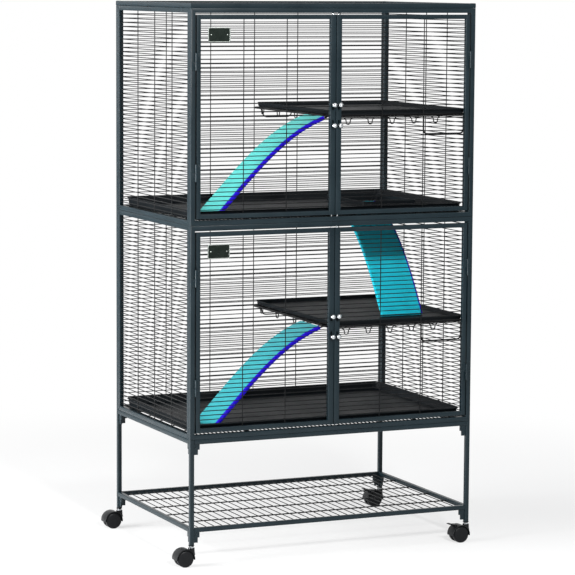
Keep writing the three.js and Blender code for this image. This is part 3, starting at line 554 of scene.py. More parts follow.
def slottedStile(side):
    # The latch stile: plain tube, but a channel open to the front where a knob's stem slides.
    x, width, depth, wall = side * latchX, door["stile"], door["tube"], door["wall"]
    middle, half = cage["unit"] / 2, latch["stem"] + latch["play"]
    marks = [doorLow]
    for way in (-1, 1):
        ends = (latch["spread"] + half, latch["spread"] - latch["throw"] - half)
        marks += sorted(middle + way * end for end in ends)
    marks.append(doorHigh)
    wide, deep = width / 2, depth / 2
    right = [(wide - 1, -deep), (wide, 1 - deep), (wide, deep - 1), (wide - 1, deep), (half, deep),
             (half, deep - wall), (wide - wall, deep - wall), (wide - wall, wall - deep)]
    channel = np.array([(-u, v) for u, v in right[4::-1]] + right + [(-u, v) for u, v in right[:4:-1]])
    profiles = (tubeProfile(width, depth), channel)
    parts = []
    for index, (low, high) in enumerate(zip(marks, marks[1:])):
        parts.append(sweep([(x, low, doorPlane), (x, high, doorPlane)], profiles[index % 2], (0, 0, 1)))
    return parts


def doorParts(side):
    # A slotted latch stile, a plain stile at the hinges, two rails and the mesh between them.
    inner = side * door["gapMiddle"] / 2
    hinged = inner + side * doorWidth
    tube = door["tube"]
    stileX = hinged - side * tube / 2
    opening = sorted((inner + side * door["stile"], hinged - side * tube))
    parts = slottedStile(side)
    parts.append(bar((stileX, doorLow, doorPlane), (stileX, doorHigh, doorPlane), tube, tube,
                     (0, 0, 1)))
    for y in (doorLow + tube / 2, doorHigh - tube / 2):
        ends = [(opening[0] - 0.6, y, doorPlane), (opening[1] + 0.6, y, doorPlane)]
        parts.append(bar(*ends, tube, tube, (0, 0, 1)))
        for x in opening:  # a fillet weld where each rail meets its stile
            parts.append(rods((x, y - tube / 2 + 2, doorPlane + tube / 2 - 0.4),
                              (x, y + tube / 2 - 2, doorPlane + tube / 2 - 0.4), 0.9, 8))
    for height in hingeHeights:
        parts += hingeHalf(side, height + seam / 2, -door["leaf"])
    wires = meshWires(opening, (doorLow + tube, doorHigh - tube), 2)
    return parts, allMoved(wires, z=doorPlane)


def latchParts(side, way):
    # A rod with a round nose, and a ball knob on a collared stem.
    x = side * latchX
    knobHeight = cage["unit"] / 2 + way * latch["spread"]
    end = doorHigh if way > 0 else doorLow
    tip = end + way * (door["gapEnd"] + latch["reach"])
    tail = knobHeight - way * latch["tail"]
    length = abs(tip - tail)
    radius = latch["rod"]
    rod = lathe([(radius - 0.4, 0), (radius, 0.5), (radius, length - 2), (radius * 0.8, length - 0.8),
                 (radius * 0.35, length)], (x, tail, doorPlane), (0, way, 0), 16)
    ballRadius, ballOut = latch["knob"], frontFace + latch["standOff"]
    ball = (0, ballOut) + ballRadius * spokes(np.linspace(-0.42 * np.pi, 0.44 * np.pi, 20))
    collar = [(latch["stem"], doorPlane), (latch["stem"], frontFace + 1.2), (3.4, frontFace + 1.4),
              (3.4, frontFace + 2.8), (2.6, frontFace + 3.2)]
    knob = lathe(np.concatenate([collar, ball]), (x, knobHeight, 0), (0, 0, 1), 32)
    return [rod, knob]


plaque = {"x": (-403, -334), "y": (525, 567), "rim": 2.2, "thickness": 2.4, "corner": 5,
          "studs": 25}


def plaqueParts():
    # A bare enamelled plate in a plain raised rim, clipped to the door's wires.
    x, y = plaque["x"], plaque["y"]
    z = doorPlane + wireLayer + wire["radius"] + plaque["thickness"] / 2
    middle = (np.mean(x), np.mean(y))
    loop = roundedLoop(np.subtract(x, middle[0]), np.subtract(y, middle[1]), plaque["corner"], 5)
    field = moved(plateShell(drawnIn(loop, 1.0), plaque["thickness"] - 0.8, 0.3), *middle, z - 0.3)
    path = np.column_stack([drawnIn(loop, plaque["rim"] / 2) + middle, np.full(len(loop), z)])
    rim = sweep(path, tubeProfile(plaque["rim"], plaque["thickness"], 0.7, 3), (0, 0, 1), closed=True)
    studs = [lathe([(1.9, 0), (1.7, 0.6), (0.9, 1.0)],
                   (middle[0] + way * plaque["studs"], middle[1], z + 0.4), (0, 0, 1), 16)
             for way in (-1, 1)]
    return [field], [rim] + studs


for level, base in levels.items():
    place = (0, frontY, base, 0)
    makePiece(f"{level}_front_tubes", stoodUp(frontFrame(), *place), tubeCoat, "cage",
              [f"{level}_front_frame"], "frame")
    for side, way in (("left", -1), ("right", 1)):
        body = f"{level}_{side}_door"
        tubes, wires = doorParts(way)
        twoFinishPiece(f"{body}_leaf", stoodUp(tubes, *place), stoodUp(wires, *place), body, body)
        for end, up in (("top", 1), ("bottom", -1)):
            name = f"{level}_{side}_latch_{end}"
            makePiece(f"{name}_rod_and_knob", stoodUp(latchParts(way, up), *place), chromePlate,
                      name, [name], "latch")
    field, rim = plaqueParts()
    makePiece(f"{level}_plate_field", stoodUp(field, *place), plateEnamel, f"{level}_left_door")
    makePiece(f"{level}_plate_rim", stoodUp(rim, *place), plateRim, f"{level}_left_door")
print("front made")


# Floors, shelves and their trays.
floor = {"bar": 5.0, "top": 13.4, "edge": (442.7, 290.7), "runners": 5, "hookX": 183.0,
         "hookWidth": 10.0, "hookLap": 5.0, "hookThickness": 2.4, "clear": 4}
rampHole = {"x": (218.0, 368.0), "y": (-60.0, 185.0)}
pan = {"outer": (437.2, 285.2), "bottom": 13.7, "height": 26.0, "wall": 2.5, "lip": 3.0,
       "draft": 4.0, "corner": 22.0, "collar": 20.0, "holeMargin": 12.0}
shelf = {"rodZ": 306.15, "rod": 3.0, "left": -7.0, "right": 437.0, "edge": 440.0,
         "halfDepth": 286.0, "rodY": 283.0, "panLeft": -0.2}
shelfPan = {"height": 14.0, "wall": 2.0, "lip": 1.5, "draft": 2.0, "corner": 14.0}
shelfHook = {"width": 6.0, "thickness": 2.4, "rise": 1.5, "drop": 6.0, "fromCorner": 65.0}
backLoop = {"left": 20.0, "width": 104.0, "slope": 5.0, "drop": 30.0, "bend": 14, "wire": 2.0}
edgeLoop = {"places": (215, 95, -35), "halfTop": 11, "halfFoot": 6, "drop": 17, "bend": 5,
            "wire": 1.7}
toyRail = {"wire": 1.5, "first": 50.0, "pitch": 72.0, "loops": 5, "halfTop": 13, "halfNeck": 8,
           "halfFoot": 5, "drop": 19, "bend": 4, "loopWire": 1.7}
bowlLoop = {"fromEdge": 8.0, "width": 134.0, "drop": 52.0, "bend": 15, "wire": 2.5}


def stretches(at, across, span, along, margin):
    # The parts of a line that stay clear of the hole.
    if across and across[0] - margin < at < across[1] + margin:
        return [(span[0], along[0] - margin), (along[1] + margin, span[1])]
    return [span]


def floorGrid(hole):
    # A mesh floor in a frame of flat bar, with lugs that hook over the cage's bottom tubes.
    edgeX, edgeY = floor["edge"]
    barWidth, top = floor["bar"], floor["top"]
    z = top - barWidth / 2
    half, section = barWidth / 2, tubeProfile(barWidth, barWidth, 1.2)

    def ring(x, y, out):
        # A mitred bar whose middle lies `out` beyond x and y.
        (left, right), (front, back) = (x[0] - out, x[1] + out), (y[0] - out, y[1] + out)
        path = [(left, front, z), (right, front, z), (right, back, z), (left, back, z)]
        return sweep(path, section, (0, 0, 1), closed=True)

    parts = [ring((-edgeX, edgeX), (-edgeY, edgeY), -half)]
    holeX, holeY = (hole["x"], hole["y"]) if hole else (None, None)
    if hole:
        parts.append(ring(holeX, holeY, half))
    wireZ = top - wire["radius"] - 0.2
    spanY, spanX = (1 - edgeY, edgeY - 1), (1 - edgeX, edgeX - 1)
    lines = [(x, y0, x, y1, wireZ) for x in wirePlaces(barWidth - edgeX, edgeX - barWidth)
             for y0, y1 in stretches(x, holeX, spanY, holeY, floor["clear"])]
    lines += [(x0, y, x1, y, wireZ - 2 * wireLayer) for y in dividedPlaces(*spanY, floor["runners"])
              for x0, x1 in stretches(y, holeY, spanX, holeX, floor["clear"])]
    parts.append(levelWires(lines))
    railTop = cage["tube"] + seam
    hookTop = railTop + floor["hookThickness"]
    for side in (-1, 1):
        for way in (-1, 1):
            x = way * (halfWidth - floor["hookX"])
            outline = [(edgeY - barWidth, top - 1), (edgeY - seam, top - 1), (edgeY - seam, railTop),
                       (edgeY + floor["hookLap"], railTop), (edgeY + floor["hookLap"], hookTop),
                       (edgeY - barWidth, hookTop)]
            lug = turned(turned(plateShell(outline, floor["hookWidth"], 0.4), "X", 90), "Z", 90)
            parts.append(moved(lug if side > 0 else turned(lug, "Z", 180), x=x))
    return parts


def loopAt(x, y, z, corner):
    # A rectangle with round corners, lying level at height z.
    loop = roundedLoop(x, y, corner, 6)
    return np.column_stack([loop, np.full(len(loop), z)])


def tray(x, y, bottom, form, hole=None):
    # Rings of a rounded rectangle, from the middle of the floor's top out over the lip and back
    # under the floor; round a hole the rings start and end at its collar instead.
    height, wall, lip = form["height"], form["wall"], form["lip"]
    draft, corner = form["draft"], form["corner"]
    top, floorTop = bottom + height, bottom + wall
    ring = lambda inset, z, radius: loopAt((x[0] + inset, x[1] - inset),
                                           (y[0] + inset, y[1] - inset), z, radius)
    foot, rim = lip + wall + draft, lip + wall
    rings = [ring(foot + 7, floorTop, corner - 4), ring(foot + 3, floorTop + 0.5, corner),
             ring(foot + 0.8, floorTop + 2.2, corner + 2), ring(foot - 0.4, floorTop + 5, corner + 3),
             ring(rim + 0.4, top - 1.6, corner + 4), ring(rim - 0.6, top - 0.4, corner + 4),
             ring(rim - 2, top, corner + 4), ring(0.8, top, corner + 5), ring(0, top - 0.7, corner + 5),
             ring(0.2, top - wall, corner + 5), ring(lip - 0.4, top - wall, corner + 4),
             ring(lip, top - wall - 1, corner + 4), ring(lip + draft - 1.2, bottom + 4, corner + 2),
             ring(lip + draft + 0.4, bottom + 1.2, corner + 1), ring(lip + draft + 3, bottom, corner)]
    if not hole:
        inset = min(x[1] - x[0], y[1] - y[0]) / 2 - 30
        rings = [ring(inset, floorTop, 10)] + rings + [ring(inset, bottom, 10)]
        return shell(np.stack(rings))
    margin, rise = form["holeMargin"], bottom + form["collar"]
    mouth = lambda out, z, radius: loopAt((hole["x"][0] - out, hole["x"][1] + out),
                                          (hole["y"][0] - out, hole["y"][1] + out), z, radius)
    collar = [mouth(margin, bottom, 8), mouth(margin, rise - 0.8, 8), mouth(margin + 0.8, rise, 9),
              mouth(margin + wall - 0.8, rise, 10), mouth(margin + wall, rise - 0.8, 10),
              mouth(margin + wall, floorTop + 3, 10), mouth(margin + wall + 1, floorTop + 0.9, 11),
              mouth(margin + wall + 3.4, floorTop, 12)]
    return shell(np.stack(collar + rings), wrapRows=True)


def wireLoop(corners, radius, bend, y):
    # Round wire along corners (x, z) in the upright plane at y, curved at each corner.
    path = filleted([(x, y, z) for x, z in corners], bend)
    return sweep(path, circle(radius, 8), (0, 1, 0))


def shelfParts():
    # A border rod, close wires, three cross rods, four hooks, and the loops that hang below.
    radius, z = shelf["rod"], shelf["rodZ"]
    x, y = (shelf["left"], shelf["right"]), (-shelf["rodY"], shelf["rodY"])
    border = loopAt(x, y, z, 12)
    parts = [sweep(border, circle(radius, 12), (0, 0, 1), closed=True)]
    upper, lower = z + radius - wire["radius"], z - radius + 1.6
    spanX, spanY = (x[0] + 1, x[1] - 1), (y[0] + 1, y[1] - 1)
    lines = [(spanX[0], at, spanX[1], at, upper) for at in wirePlaces(*y)]
    lines += [(at, spanY[0], at, spanY[1], lower) for at in dividedPlaces(*x, 3)]
    parts.append(levelWires(lines))
    hookEnd = halfDepth - cage["tube"] / 2 + 1.6 - shelf["rodY"] + shelfHook["thickness"]
    rise, drop = shelfHook["rise"], shelfHook["drop"]
    tongue = [(0, 0, rise), (hookEnd, 0, rise), (hookEnd, 0, -drop)]
    profile = tubeProfile(shelfHook["width"], shelfHook["thickness"], 0.8, 2)[:, ::-1]
    hook = sweep(filleted(tongue, 2), profile, (0, 1, 0))
    inwards = shelfHook["fromCorner"]
    for at in (x[0] + inwards, x[1] - inwards):
        parts.append(moved(turned(hook, "Z", 90), at, y[1], z))
    for at in (y[0] + inwards, y[1] - inwards):
        parts.append(moved(hook, x[1], at, z))
    left, foot = backLoop["left"], z - backLoop["drop"]
    right, slope = left + backLoop["width"], backLoop["slope"]
    corners = [(left, z - 1), (left + slope, foot), (right - slope, foot), (right, z - 1)]
    parts.append(wireLoop(corners, backLoop["wire"], backLoop["bend"], y[1]))
    top, bottom, foot = edgeLoop["halfTop"], edgeLoop["halfFoot"], z - edgeLoop["drop"]
    for at in edgeLoop["places"]:
        corners = [(x[0], at - top, z - 1), (x[0], at - bottom, foot), (x[0], at + bottom, foot),
                   (x[0], at + top, z - 1)]
        path = filleted(corners, edgeLoop["bend"])
        parts.append(sweep(path, circle(edgeLoop["wire"], 8), (1, 0, 0)))
    return parts


def toyRailParts():
    # A rod under the shelf's front edge with U-shaped loops, and a wide one at its right end.
    z = shelf["rodZ"] - shelf["rod"] - 0.2 - toyRail["wire"]
    y = -shelf["rodY"]
    parts = [rods((shelf["left"] - 2, y, z), (shelf["edge"] - 3, y, z), toyRail["wire"], 12)]
    half = [(toyRail["halfTop"], -1), (toyRail["halfNeck"], -4),
            (toyRail["halfFoot"], -toyRail["drop"])]
    outline = np.array([(-across, down) for across, down in half] + half[::-1])
    for middle in toyRail["first"] + toyRail["pitch"] * np.arange(toyRail["loops"]):
        parts.append(wireLoop(outline + (middle, z), toyRail["loopWire"], toyRail["bend"], y))
    right, foot = shelf["edge"] - bowlLoop["fromEdge"], z - bowlLoop["drop"]
    left = right - bowlLoop["width"]
    corners = [(left, z), (left, foot), (right, foot), (right, z)]
    parts.append(wireLoop(corners, bowlLoop["wire"], bowlLoop["bend"], y))
    return parts


for level, base in levels.items():
    hole = rampHole if level == "upper" else None
    (halfX, halfY), shelfY = pan["outer"], shelf["halfDepth"]
    deepTray = tray((-halfX, halfX), (-halfY, halfY), pan["bottom"], pan, hole)
    shallowTray = tray((shelf["panLeft"], shelf["edge"]), (-shelfY, shelfY),
                       shelf["rodZ"] + shelf["rod"] + seam, shelfPan)
    for name, parts, material, node, slot, sharp in (
            ("floor_wires", floorGrid(hole), wireCoat, "floor_grid", "wire", 35),
            ("deep_tray", [deepTray], trayPlastic, "floor_pan", "pan", 25),
            ("shelf_wires", shelfParts(), wireCoat, "shelf", "wire", 35),
            ("toy_loops", toyRailParts(), wireCoat, "toy_rail", "wire", 35),
            ("shelf_tray", [shallowTray], trayPlastic, "shelf_pan", "pan", 25)):
        makePiece(f"{level}_{name}", allMoved(parts, z=base), material, "cage",
                  [f"{level}_{node}"], slot, sharp)
print("floors and shelves made")


# Ramps: bent wire frames in fabric sleeves, bound with tape along one edge.
ramp = {"width": 140.0, "thickness": 11.0, "wall": 1.6, "hookWall": 2.6, "play": 0.6, "bar": 4.0,
        "halfStrip": 2.4, "rung": 1.2, "tape": 1.5, "tapeProud": 0.7, "rungPitch": 56.0,
        "swell": 0.7, "clothFrom": 0.02, "stations": 72}
sideCurve = [(5.09, -2.52), (142.18, -44.93), (252.72, -182.88), (352.7, -285.82)]
middleCurve = [(5.57, -2.76), (152.95, -28.06), (271.74, -191.15), (350.0, -318.57)]


def bezier(control, t):
    # (1 - t)^3 a + 3 t (1 - t)^2 b + 3 t^2 (1 - t) c + t^3 d.
    a, b, c, d = np.asarray(control, float)
    t = np.asarray(t, float)[:, None]
    return (1 - t) ** 3 * a + 3 * t * (1 - t) ** 2 * b + 3 * t ** 2 * (1 - t) * c + t ** 3 * d


def evenCurve(control, low, high, count):
    # Points and upward normals at even distances along the curve.
    t = np.linspace(0, 1, 400)
    points = bezier(control, t)
    run = runningLength(points)
    share = np.interp(np.linspace(low, high, count) * run[-1], run, t)
    at = bezier(control, share)
    ahead = unit(bezier(control, share + 1e-3) - bezier(control, share - 1e-3))
    return at, np.stack([-ahead[:, 1], ahead[:, 0]], -1), run[-1]


def clothMap(section, run):
    # The cloth laid flat, in metres: u is the way round its section and v the way along it.
    around = runningLength(section)[None, :]
    return np.stack(np.broadcast_arrays(around, run[:, None]), -1).reshape(-1, 2) * mm


def sleeve(control):
    # A tube of cloth round the frame, open at both ends: ring point (a, b) of a flat oval at each
    # station, its crown lifted between the rungs, out along the outside and back along the inside.
    stations, wide, deep = ramp["stations"], ramp["width"] / 2, ramp["thickness"] / 2
    at, up, length = evenCurve(control, ramp["clothFrom"], 1.0, stations)
    run = np.linspace(ramp["clothFrom"], 1.0, stations) * length
    swell = ramp["swell"] * np.sin(np.pi * run / ramp["rungPitch"]) ** 2
    outside = roundedLoop((-wide, wide), (-deep, deep), 5, 5)
    places, known = np.linspace(0, len(outside), 97)[:-1], np.arange(len(outside) + 1)
    outside = np.stack([np.interp(places, known, np.append(column, column[0]))
                        for column in outside.T], -1)
    inside = drawnIn(outside, ramp["wall"])
    crown = (1 - np.clip(np.abs(outside[:, 0]) / wide, 0, 1) ** 4) * np.sign(outside[:, 1])

    def rings(loop, lift):
        across = np.broadcast_to(loop[:, 0], (stations, len(loop)))
        rise = loop[:, 1] + lift * crown * swell[:, None]
        flat = at[:, None] + rise[..., None] * up[:, None]
        return np.stack([flat[..., 0], flat[..., 1], across], -1)

    outer, inner = rings(outside, 1.0), rings(inside, 1.0)
    points = np.concatenate([outer, inner[::-1]])
    uv = clothMap(outside, np.concatenate([run, run[::-1]]))
    return shell(points, wrapRows=True), uv, length


def tape(control, side):
    # Binding folded over one long edge: a U-shaped strip that stands just proud of the sleeve.
    at, up, length = evenCurve(control, ramp["clothFrom"], 1.0, ramp["stations"])
    edge, half = ramp["width"] / 2, ramp["thickness"] / 2
    lap, proud = ramp["tape"], ramp["tapeProud"]
    angle = np.linspace(np.pi / 2, -np.pi / 2, 13)
    bend = half - 0.6
    fold = np.stack([edge - bend + bend * np.cos(angle), half * np.sin(angle)], -1)
    run = np.linspace(ramp["clothFrom"], 1.0, ramp["stations"]) * length
    outer = np.concatenate([[(edge - bend - lap, half)], fold, [(edge - bend - lap, -half)]])
    grown = outer + proud * np.concatenate([[(0, 1)], spokes(angle), [(0, -1)]])
    loop = np.concatenate([grown, outer[::-1]])
    ripple = 0.12 * np.sin(2 * np.pi * run / 17)[:, None]
    across = side * (loop[:, 0] + ripple)
    flat = at[:, None] + loop[None, :, 1, None] * up[:, None]
    points = np.stack([flat[..., 0], flat[..., 1], across], -1)
    return shell(points), clothMap(loop, run)


def rampFrame(control, barRadius, wrap):
    # Two flat side bars that end in open hooks, with rungs between them.
    at, up, length = evenCurve(control, 0.0, 0.985, 48)
    middle = ramp["width"] / 2 - ramp["wall"] - 1 - ramp["bar"] / 2
    inner = barRadius + ramp["play"]
    outer = inner + ramp["hookWall"]
    angle = np.linspace(-0.9, wrap, 30)
    hook = np.concatenate([outer * spokes(angle), inner * spokes(angle[::-1])])
    rise = ramp["halfStrip"] * up
    strip = np.concatenate([at + rise, (at - rise)[::-1]])
    parts = []
    for z in (-middle, middle):
        parts += [moved(plateShell(outline, ramp["bar"], 0.6), z=z) for outline in (strip, hook)]
    rungs, _, _ = evenCurve(control, 0.03, 0.97, int(length / ramp["rungPitch"]) + 1)
    ends = [np.column_stack([rungs, np.full(len(rungs), z)]) for z in (-middle, middle)]
    return parts + [rods(*ends, ramp["rung"], 8)]


for name, control, x, y, z, degrees, barRadius, wrap in (
        ("lower", sideCurve, shelf["left"], -180.0, levels["lower"] + shelf["rodZ"], 180, 3.0, 3.4),
        ("upper", sideCurve, shelf["left"], -200.0, levels["upper"] + shelf["rodZ"], 180, 3.0, 3.4),
        ("middle", middleCurve, 293.0, 187.5, levels["upper"] + 10.9, -90, 3.54, 2.1)):
    place = (x, y, z, degrees)
    body = f"{name}_ramp"
    makePiece(f"{body}_wires", stoodUp(rampFrame(control, barRadius, wrap), *place), wireCoat,
              body, [f"{body}_frame"], "wire")
    skin, uv, length = sleeve(control)
    sleevePiece = makePiece(f"{body}_sleeve", stoodUp([skin], *place), rampCloth[name], body,
                            [f"{body}_cover"], "fabric", 60, uv)
    # Only the left edge, seen from the top, is bound; along the right one the cloth is folded.
    strip, uv = tape(control, -1)
    binding = makePiece(f"{body}_binding", stoodUp([strip], *place), bindingTape, body,
                        slot="fabric", sharp=60, uv=uv)
print("ramps made")


# The stand: legs, rails, storage shelf and castors.
stand = {"tube": 13.0, "legLow": 62.0, "top": 371.0, "storageRise": 50.0, "deckPitch": 25.4,
         "deckWire": 1.3, "runners": 4, "runnerWire": 1.9, "step": (18.0, 16.0), "toe": (12.5, 31.0),
         "bracket": 6.0, "bolt": (7.0, 9.0)}
legX, legY = halfWidth - stand["tube"] / 2, halfDepth - stand["tube"] / 2
corners = {f"{depth}_{width}": (wayX * legX, wayY * legY)
           for depth, wayY in (("front", -1), ("back", 1))
           for width, wayX in (("left", -1), ("right", 1))}


def railParts(length):
    # A tube with a stepped plate welded under each end; X runs along it.
    half, tube = length / 2, stand["tube"]
    (reach, drop), (toe, toeDrop) = stand["step"], stand["toe"]
    outline = [(0, 1), (reach, 1), (reach, -drop), (toe, -drop), (toe, -toeDrop), (0, -toeDrop)]
    parts = [bar((-half, 0, 0), (half, 0, 0), tube, tube, (0, 0, 1))]
    bracket = moved(turned(plateShell(outline, stand["bracket"], 0.6), "X", 90), -half, 0, -tube / 2)
    boltX, boltDrop = stand["bolt"]
    bolt = lathe([(3.4, 0), (3.2, 1.2), (2.2, 2.0), (0.8, 2.3)],
                 (boltX - half, -stand["bracket"] / 2, -tube / 2 - boltDrop), (0, -1, 0), 20)
    for degrees in (0, 180):
        parts += [turned(bracket, "Z", degrees), turned(bolt, "Z", degrees)]
    return parts


railX = cage["width"] - 2 * stand["tube"] - 2 * seam
railY = cage["depth"] - 2 * stand["tube"] - 2 * seam
railZ = stand["top"] - stand["tube"] / 2


def onRails(z):
    # The four rails of one level of the stand, each with its bolts facing outwards.
    places = {"front": (railX, 0, -legY, 0), "back": (railX, 0, legY, 180),
              "left": (railY, -legX, 0, 270), "right": (railY, legX, 0, 90)}
    return {side: [moved(turned(part, "Z", degrees), x, y, z) for part in railParts(length)]
            for side, (length, x, y, degrees) in places.items()}


for side, parts in onRails(railZ).items():
    makePiece(f"stand_rail_{side}_tube", parts, tubeCoat, "cage", [f"stand_rail_{side}"], "frame")
deckZ = stand["legLow"] + stand["storageRise"] - stand["tube"] / 2
rails = [part for parts in onRails(deckZ).values() for part in parts]
deckX, deckY = halfWidth - stand["tube"] + 2, halfDepth - stand["tube"] + 2
lines = [(x, -deckY, x, deckY, deckZ + wireLayer)
         for x in wirePlaces(-deckX, deckX, stand["deckPitch"])]
runners = [(-deckX, y, deckX, y, deckZ - 1.6)
           for y in dividedPlaces(-deckY, deckY, stand["runners"])]
deck = [levelWires(lines, stand["deckWire"]), levelWires(runners, stand["runnerWire"])]
twoFinishPiece("storage_deck", rails, deck, "cage", "storage_shelf")

castor = {"radius": 25.0, "width": 39.6, "channel": 9.6, "trail": 24.0, "axle": 3.0,
          "hoodInner": 26.4, "hoodOuter": 29.0, "hoodWidth": 40.0, "neck": 10.0, "web": 7.0,
          "flangeLow": 59.1, "stemShown": 5.0, "pin": (-38.1, 53.5)}
brake = {"width": 17.0, "ribs": 3, "ear": 2.5, "earAt": 10.55, "pinHalf": 11.5, "pinRadius": 1.3}


def legParts(x, y):
    # One upright of square tube.
    ends = [(x, y, stand["legLow"]), (x, y, stand["top"])]
    return [bar(*ends, stand["tube"], stand["tube"], (0, 1, 0))]


def socketParts():
    # A flanged plug in the end of a leg, which takes the castor's stem.
    low = castor["flangeLow"]
    profile = [(5, low), (8.4, low), (9, low + 0.6), (9, low + 2), (8.4, low + 2.6),
               (5.4, low + 2.7), (5.4, low + 20), (4.4, low + 20), (4.4, low)]
    return [lathe(profile, (0, 0, 0), (0, 0, 1), 28)]


def wheelParts():
    # Two treads with rounded shoulders, a shallow groove round each domed face, and the axle.
    radius, half, channel = castor["radius"], castor["width"] / 2, castor["channel"] / 2
    parts = []
    for way in (-1, 1):
        profile = [(castor["axle"], channel), (radius - 5, channel), (radius - 1.6, channel + 0.3),
                   (radius - 0.3, channel + 1.6), (radius, channel + 3.2), (radius, half - 4.4),
                   (radius - 0.5, half - 2.6), (radius - 1.6, half - 1.5), (radius - 2.4, half - 1.7),
                   (radius - 3.2, half - 1.2), (radius - 7, half - 0.5), (radius / 2, half - 0.1),
                   (1.0, half)]
        profile = [(out, way * height) for out, height in profile]
        parts.append(lathe(profile, (-castor["trail"], 0, radius), (0, 1, 0), 48))
    ends = [(-castor["trail"], way * (channel + 0.5), radius) for way in (-1, 1)]
    parts.append(rods(*ends, castor["axle"] - 0.1, 16))
    return parts


def forkParts(braked):
    # A curved hood over both wheels, a web between them, a neck under the stem and the pin's ears.
    radius, trail = castor["radius"], castor["trail"]
    inner, outer, width = castor["hoodInner"], castor["hoodOuter"], castor["hoodWidth"]
    middle, depth = (inner + outer) / 2, outer - inner
    angle = np.linspace(-0.12, np.pi + 0.12, 36)
    path = np.stack([middle * np.cos(angle) - trail, 0 * angle,
                     middle * np.sin(angle) + radius], -1)
    crown = roundedLoop((-depth / 2, depth / 2), (-width / 2, width / 2), 1.1, 4)
    parts = [sweep(path, crown, (0, 1, 0))]
    rim = (inner + 0.8) * spokes(np.linspace(-0.1, np.pi + 0.1, 40))
    hub = 6.0 * spokes(np.linspace(np.pi + 0.9, 2 * np.pi - 0.9, 5))
    web = turned(plateShell(np.concatenate([rim, hub]), castor["web"], 0.8), "X", 90)
    parts.append(moved(web, -trail, 0, radius))
    neckTop = castor["flangeLow"] - castor["stemShown"]
    neckLow = radius + inner * np.sin(np.arccos(trail / outer)) - 6
    neck = castor["neck"]
    profile = [(neck + 1.5, neckLow), (neck, neckLow + 8), (neck - 0.4, neckTop - 0.8),
               (neck - 1.2, neckTop)]
    parts.append(lathe(profile, (0, 0, 0), (0, 0, 1), 32))
    if braked:
        x, z = castor["pin"]
        ear = [(x - 3.5, z - 5.2), (x + 2.5, z - 5.2), (x + 2.5, z + 1), (x + 1, z + 2.6),
               (x - 2, z + 2.6), (x - 3.5, z + 1)]
        for way in (-1, 1):
            plate = turned(plateShell(ear, brake["ear"], 0.5), "X", 90)
            parts.append(moved(plate, 0, way * brake["earAt"], 0))
    return parts


def stemParts():
    # The steel stem with the washer that shows between the neck and the socket.
    low, high = castor["flangeLow"] - castor["stemShown"] - 1, castor["flangeLow"] - 1.5
    return [lathe([(7.5, low), (7.5, high - 0.5), (7, high)], (0, 0, 0), (0, 0, 1), 28),
            lathe([(3.7, low), (3.7, 80), (2.6, 82)], (0, 0, 0), (0, 0, 1), 20)]


def brakeParts():
    # A foot tab, dished at its tip, on a cross pin over the wheels.
    x, z = castor["pin"]
    tab = filleted([(0, -1.7), (-18, 2.0), (-24, 4.0), (-23, 5.8), (-18, 5.8), (0, 1.7)], 0.9, 3)
    plate = turned(plateShell(tab, brake["width"], 0.7), "X", 90)
    ribs, half = [], brake["width"] / 2 - 2
    for index in range(brake["ribs"]):
        ribX, ribZ = 3 * index - 21.5, 5.9 - 0.35 * index
        ribs.append(moved(rods((ribX, -half, ribZ), (ribX, half, ribZ), 0.7, 8), x, 0, z))
    half = brake["width"] / 2 + 0.5
    barrel = lathe([(2.0, -half), (2.5, 0.5 - half), (2.5, half - 0.5), (2.0, half)], (x, 0, z),
                   (0, 1, 0), 20)
    pin = rods((x, -brake["pinHalf"], z), (x, brake["pinHalf"], z), brake["pinRadius"], 12)
    return [moved(plate, x, 0, z), barrel, pin] + ribs


for place, (x, y) in corners.items():
    makePiece(f"leg_{place}_tube", legParts(x, y), tubeCoat, "cage", [f"leg_{place}"], "frame")
    socket, fork, wheel, lever = (f"castor_{part}_{place}"
                                  for part in ("socket", "fork", "wheel", "brake"))
    braked = x > 0
    pieces = [("socket", socketParts(), castorNylon, "cage", [socket], "castor"),
              ("hood", forkParts(braked), castorNylon, fork, [fork], "castor"),
              ("stem", stemParts(), zincPlate, fork, (), None),
              ("twin_wheel", wheelParts(), castorNylon, wheel, [wheel], "castor")]
    if braked:
        pieces.append(("foot_brake", brakeParts(), castorNylon, lever, [lever], "castor"))
    for name, parts, *rest in pieces:
        makePiece(f"castor_{place}_{name}", allMoved(parts, x, y), *rest)
print("stand made")


# The camera stands where the photograph's lines meet: place in mm, turn and tip in radians,
# and focal length in pixels of a 575-pixel picture.
view = {"place": (-3313.0, -7364.7, 1705.5), "turn": 0.421, "tip": 0.116, "roll": 0.006,
        "focal": 2667.3, "pixels": 575, "sensor": 36}
cameraData = bpy.data.cameras.new("photographViewpoint")
cameraData.sensor_width = view["sensor"]
cameraData.lens = view["focal"] / view["pixels"] * view["sensor"]
cameraData.clip_end = 100  # metres
camera = bpy.data.objects.new("photographViewpoint", cameraData)
bpy.context.scene.collection.objects.link(camera)
turn, tip, roll = view["turn"], view["tip"], view["roll"]
forward = Vector((math.sin(turn) * math.cos(tip), math.cos(turn) * math.cos(tip), -math.sin(tip)))
right = Vector((math.cos(turn), -math.sin(turn), 0))
upward = right.cross(forward)
axes = Matrix((right, upward, -forward)).transposed()
camera.rotation_mode = "QUATERNION"
camera.rotation_quaternion = (axes @ Matrix.Rotation(roll, 3, "Z")).to_quaternion()
camera.location = Vector(np.array(view["place"]) * mm + cageMiddle)
bpy.context.scene.camera = camera

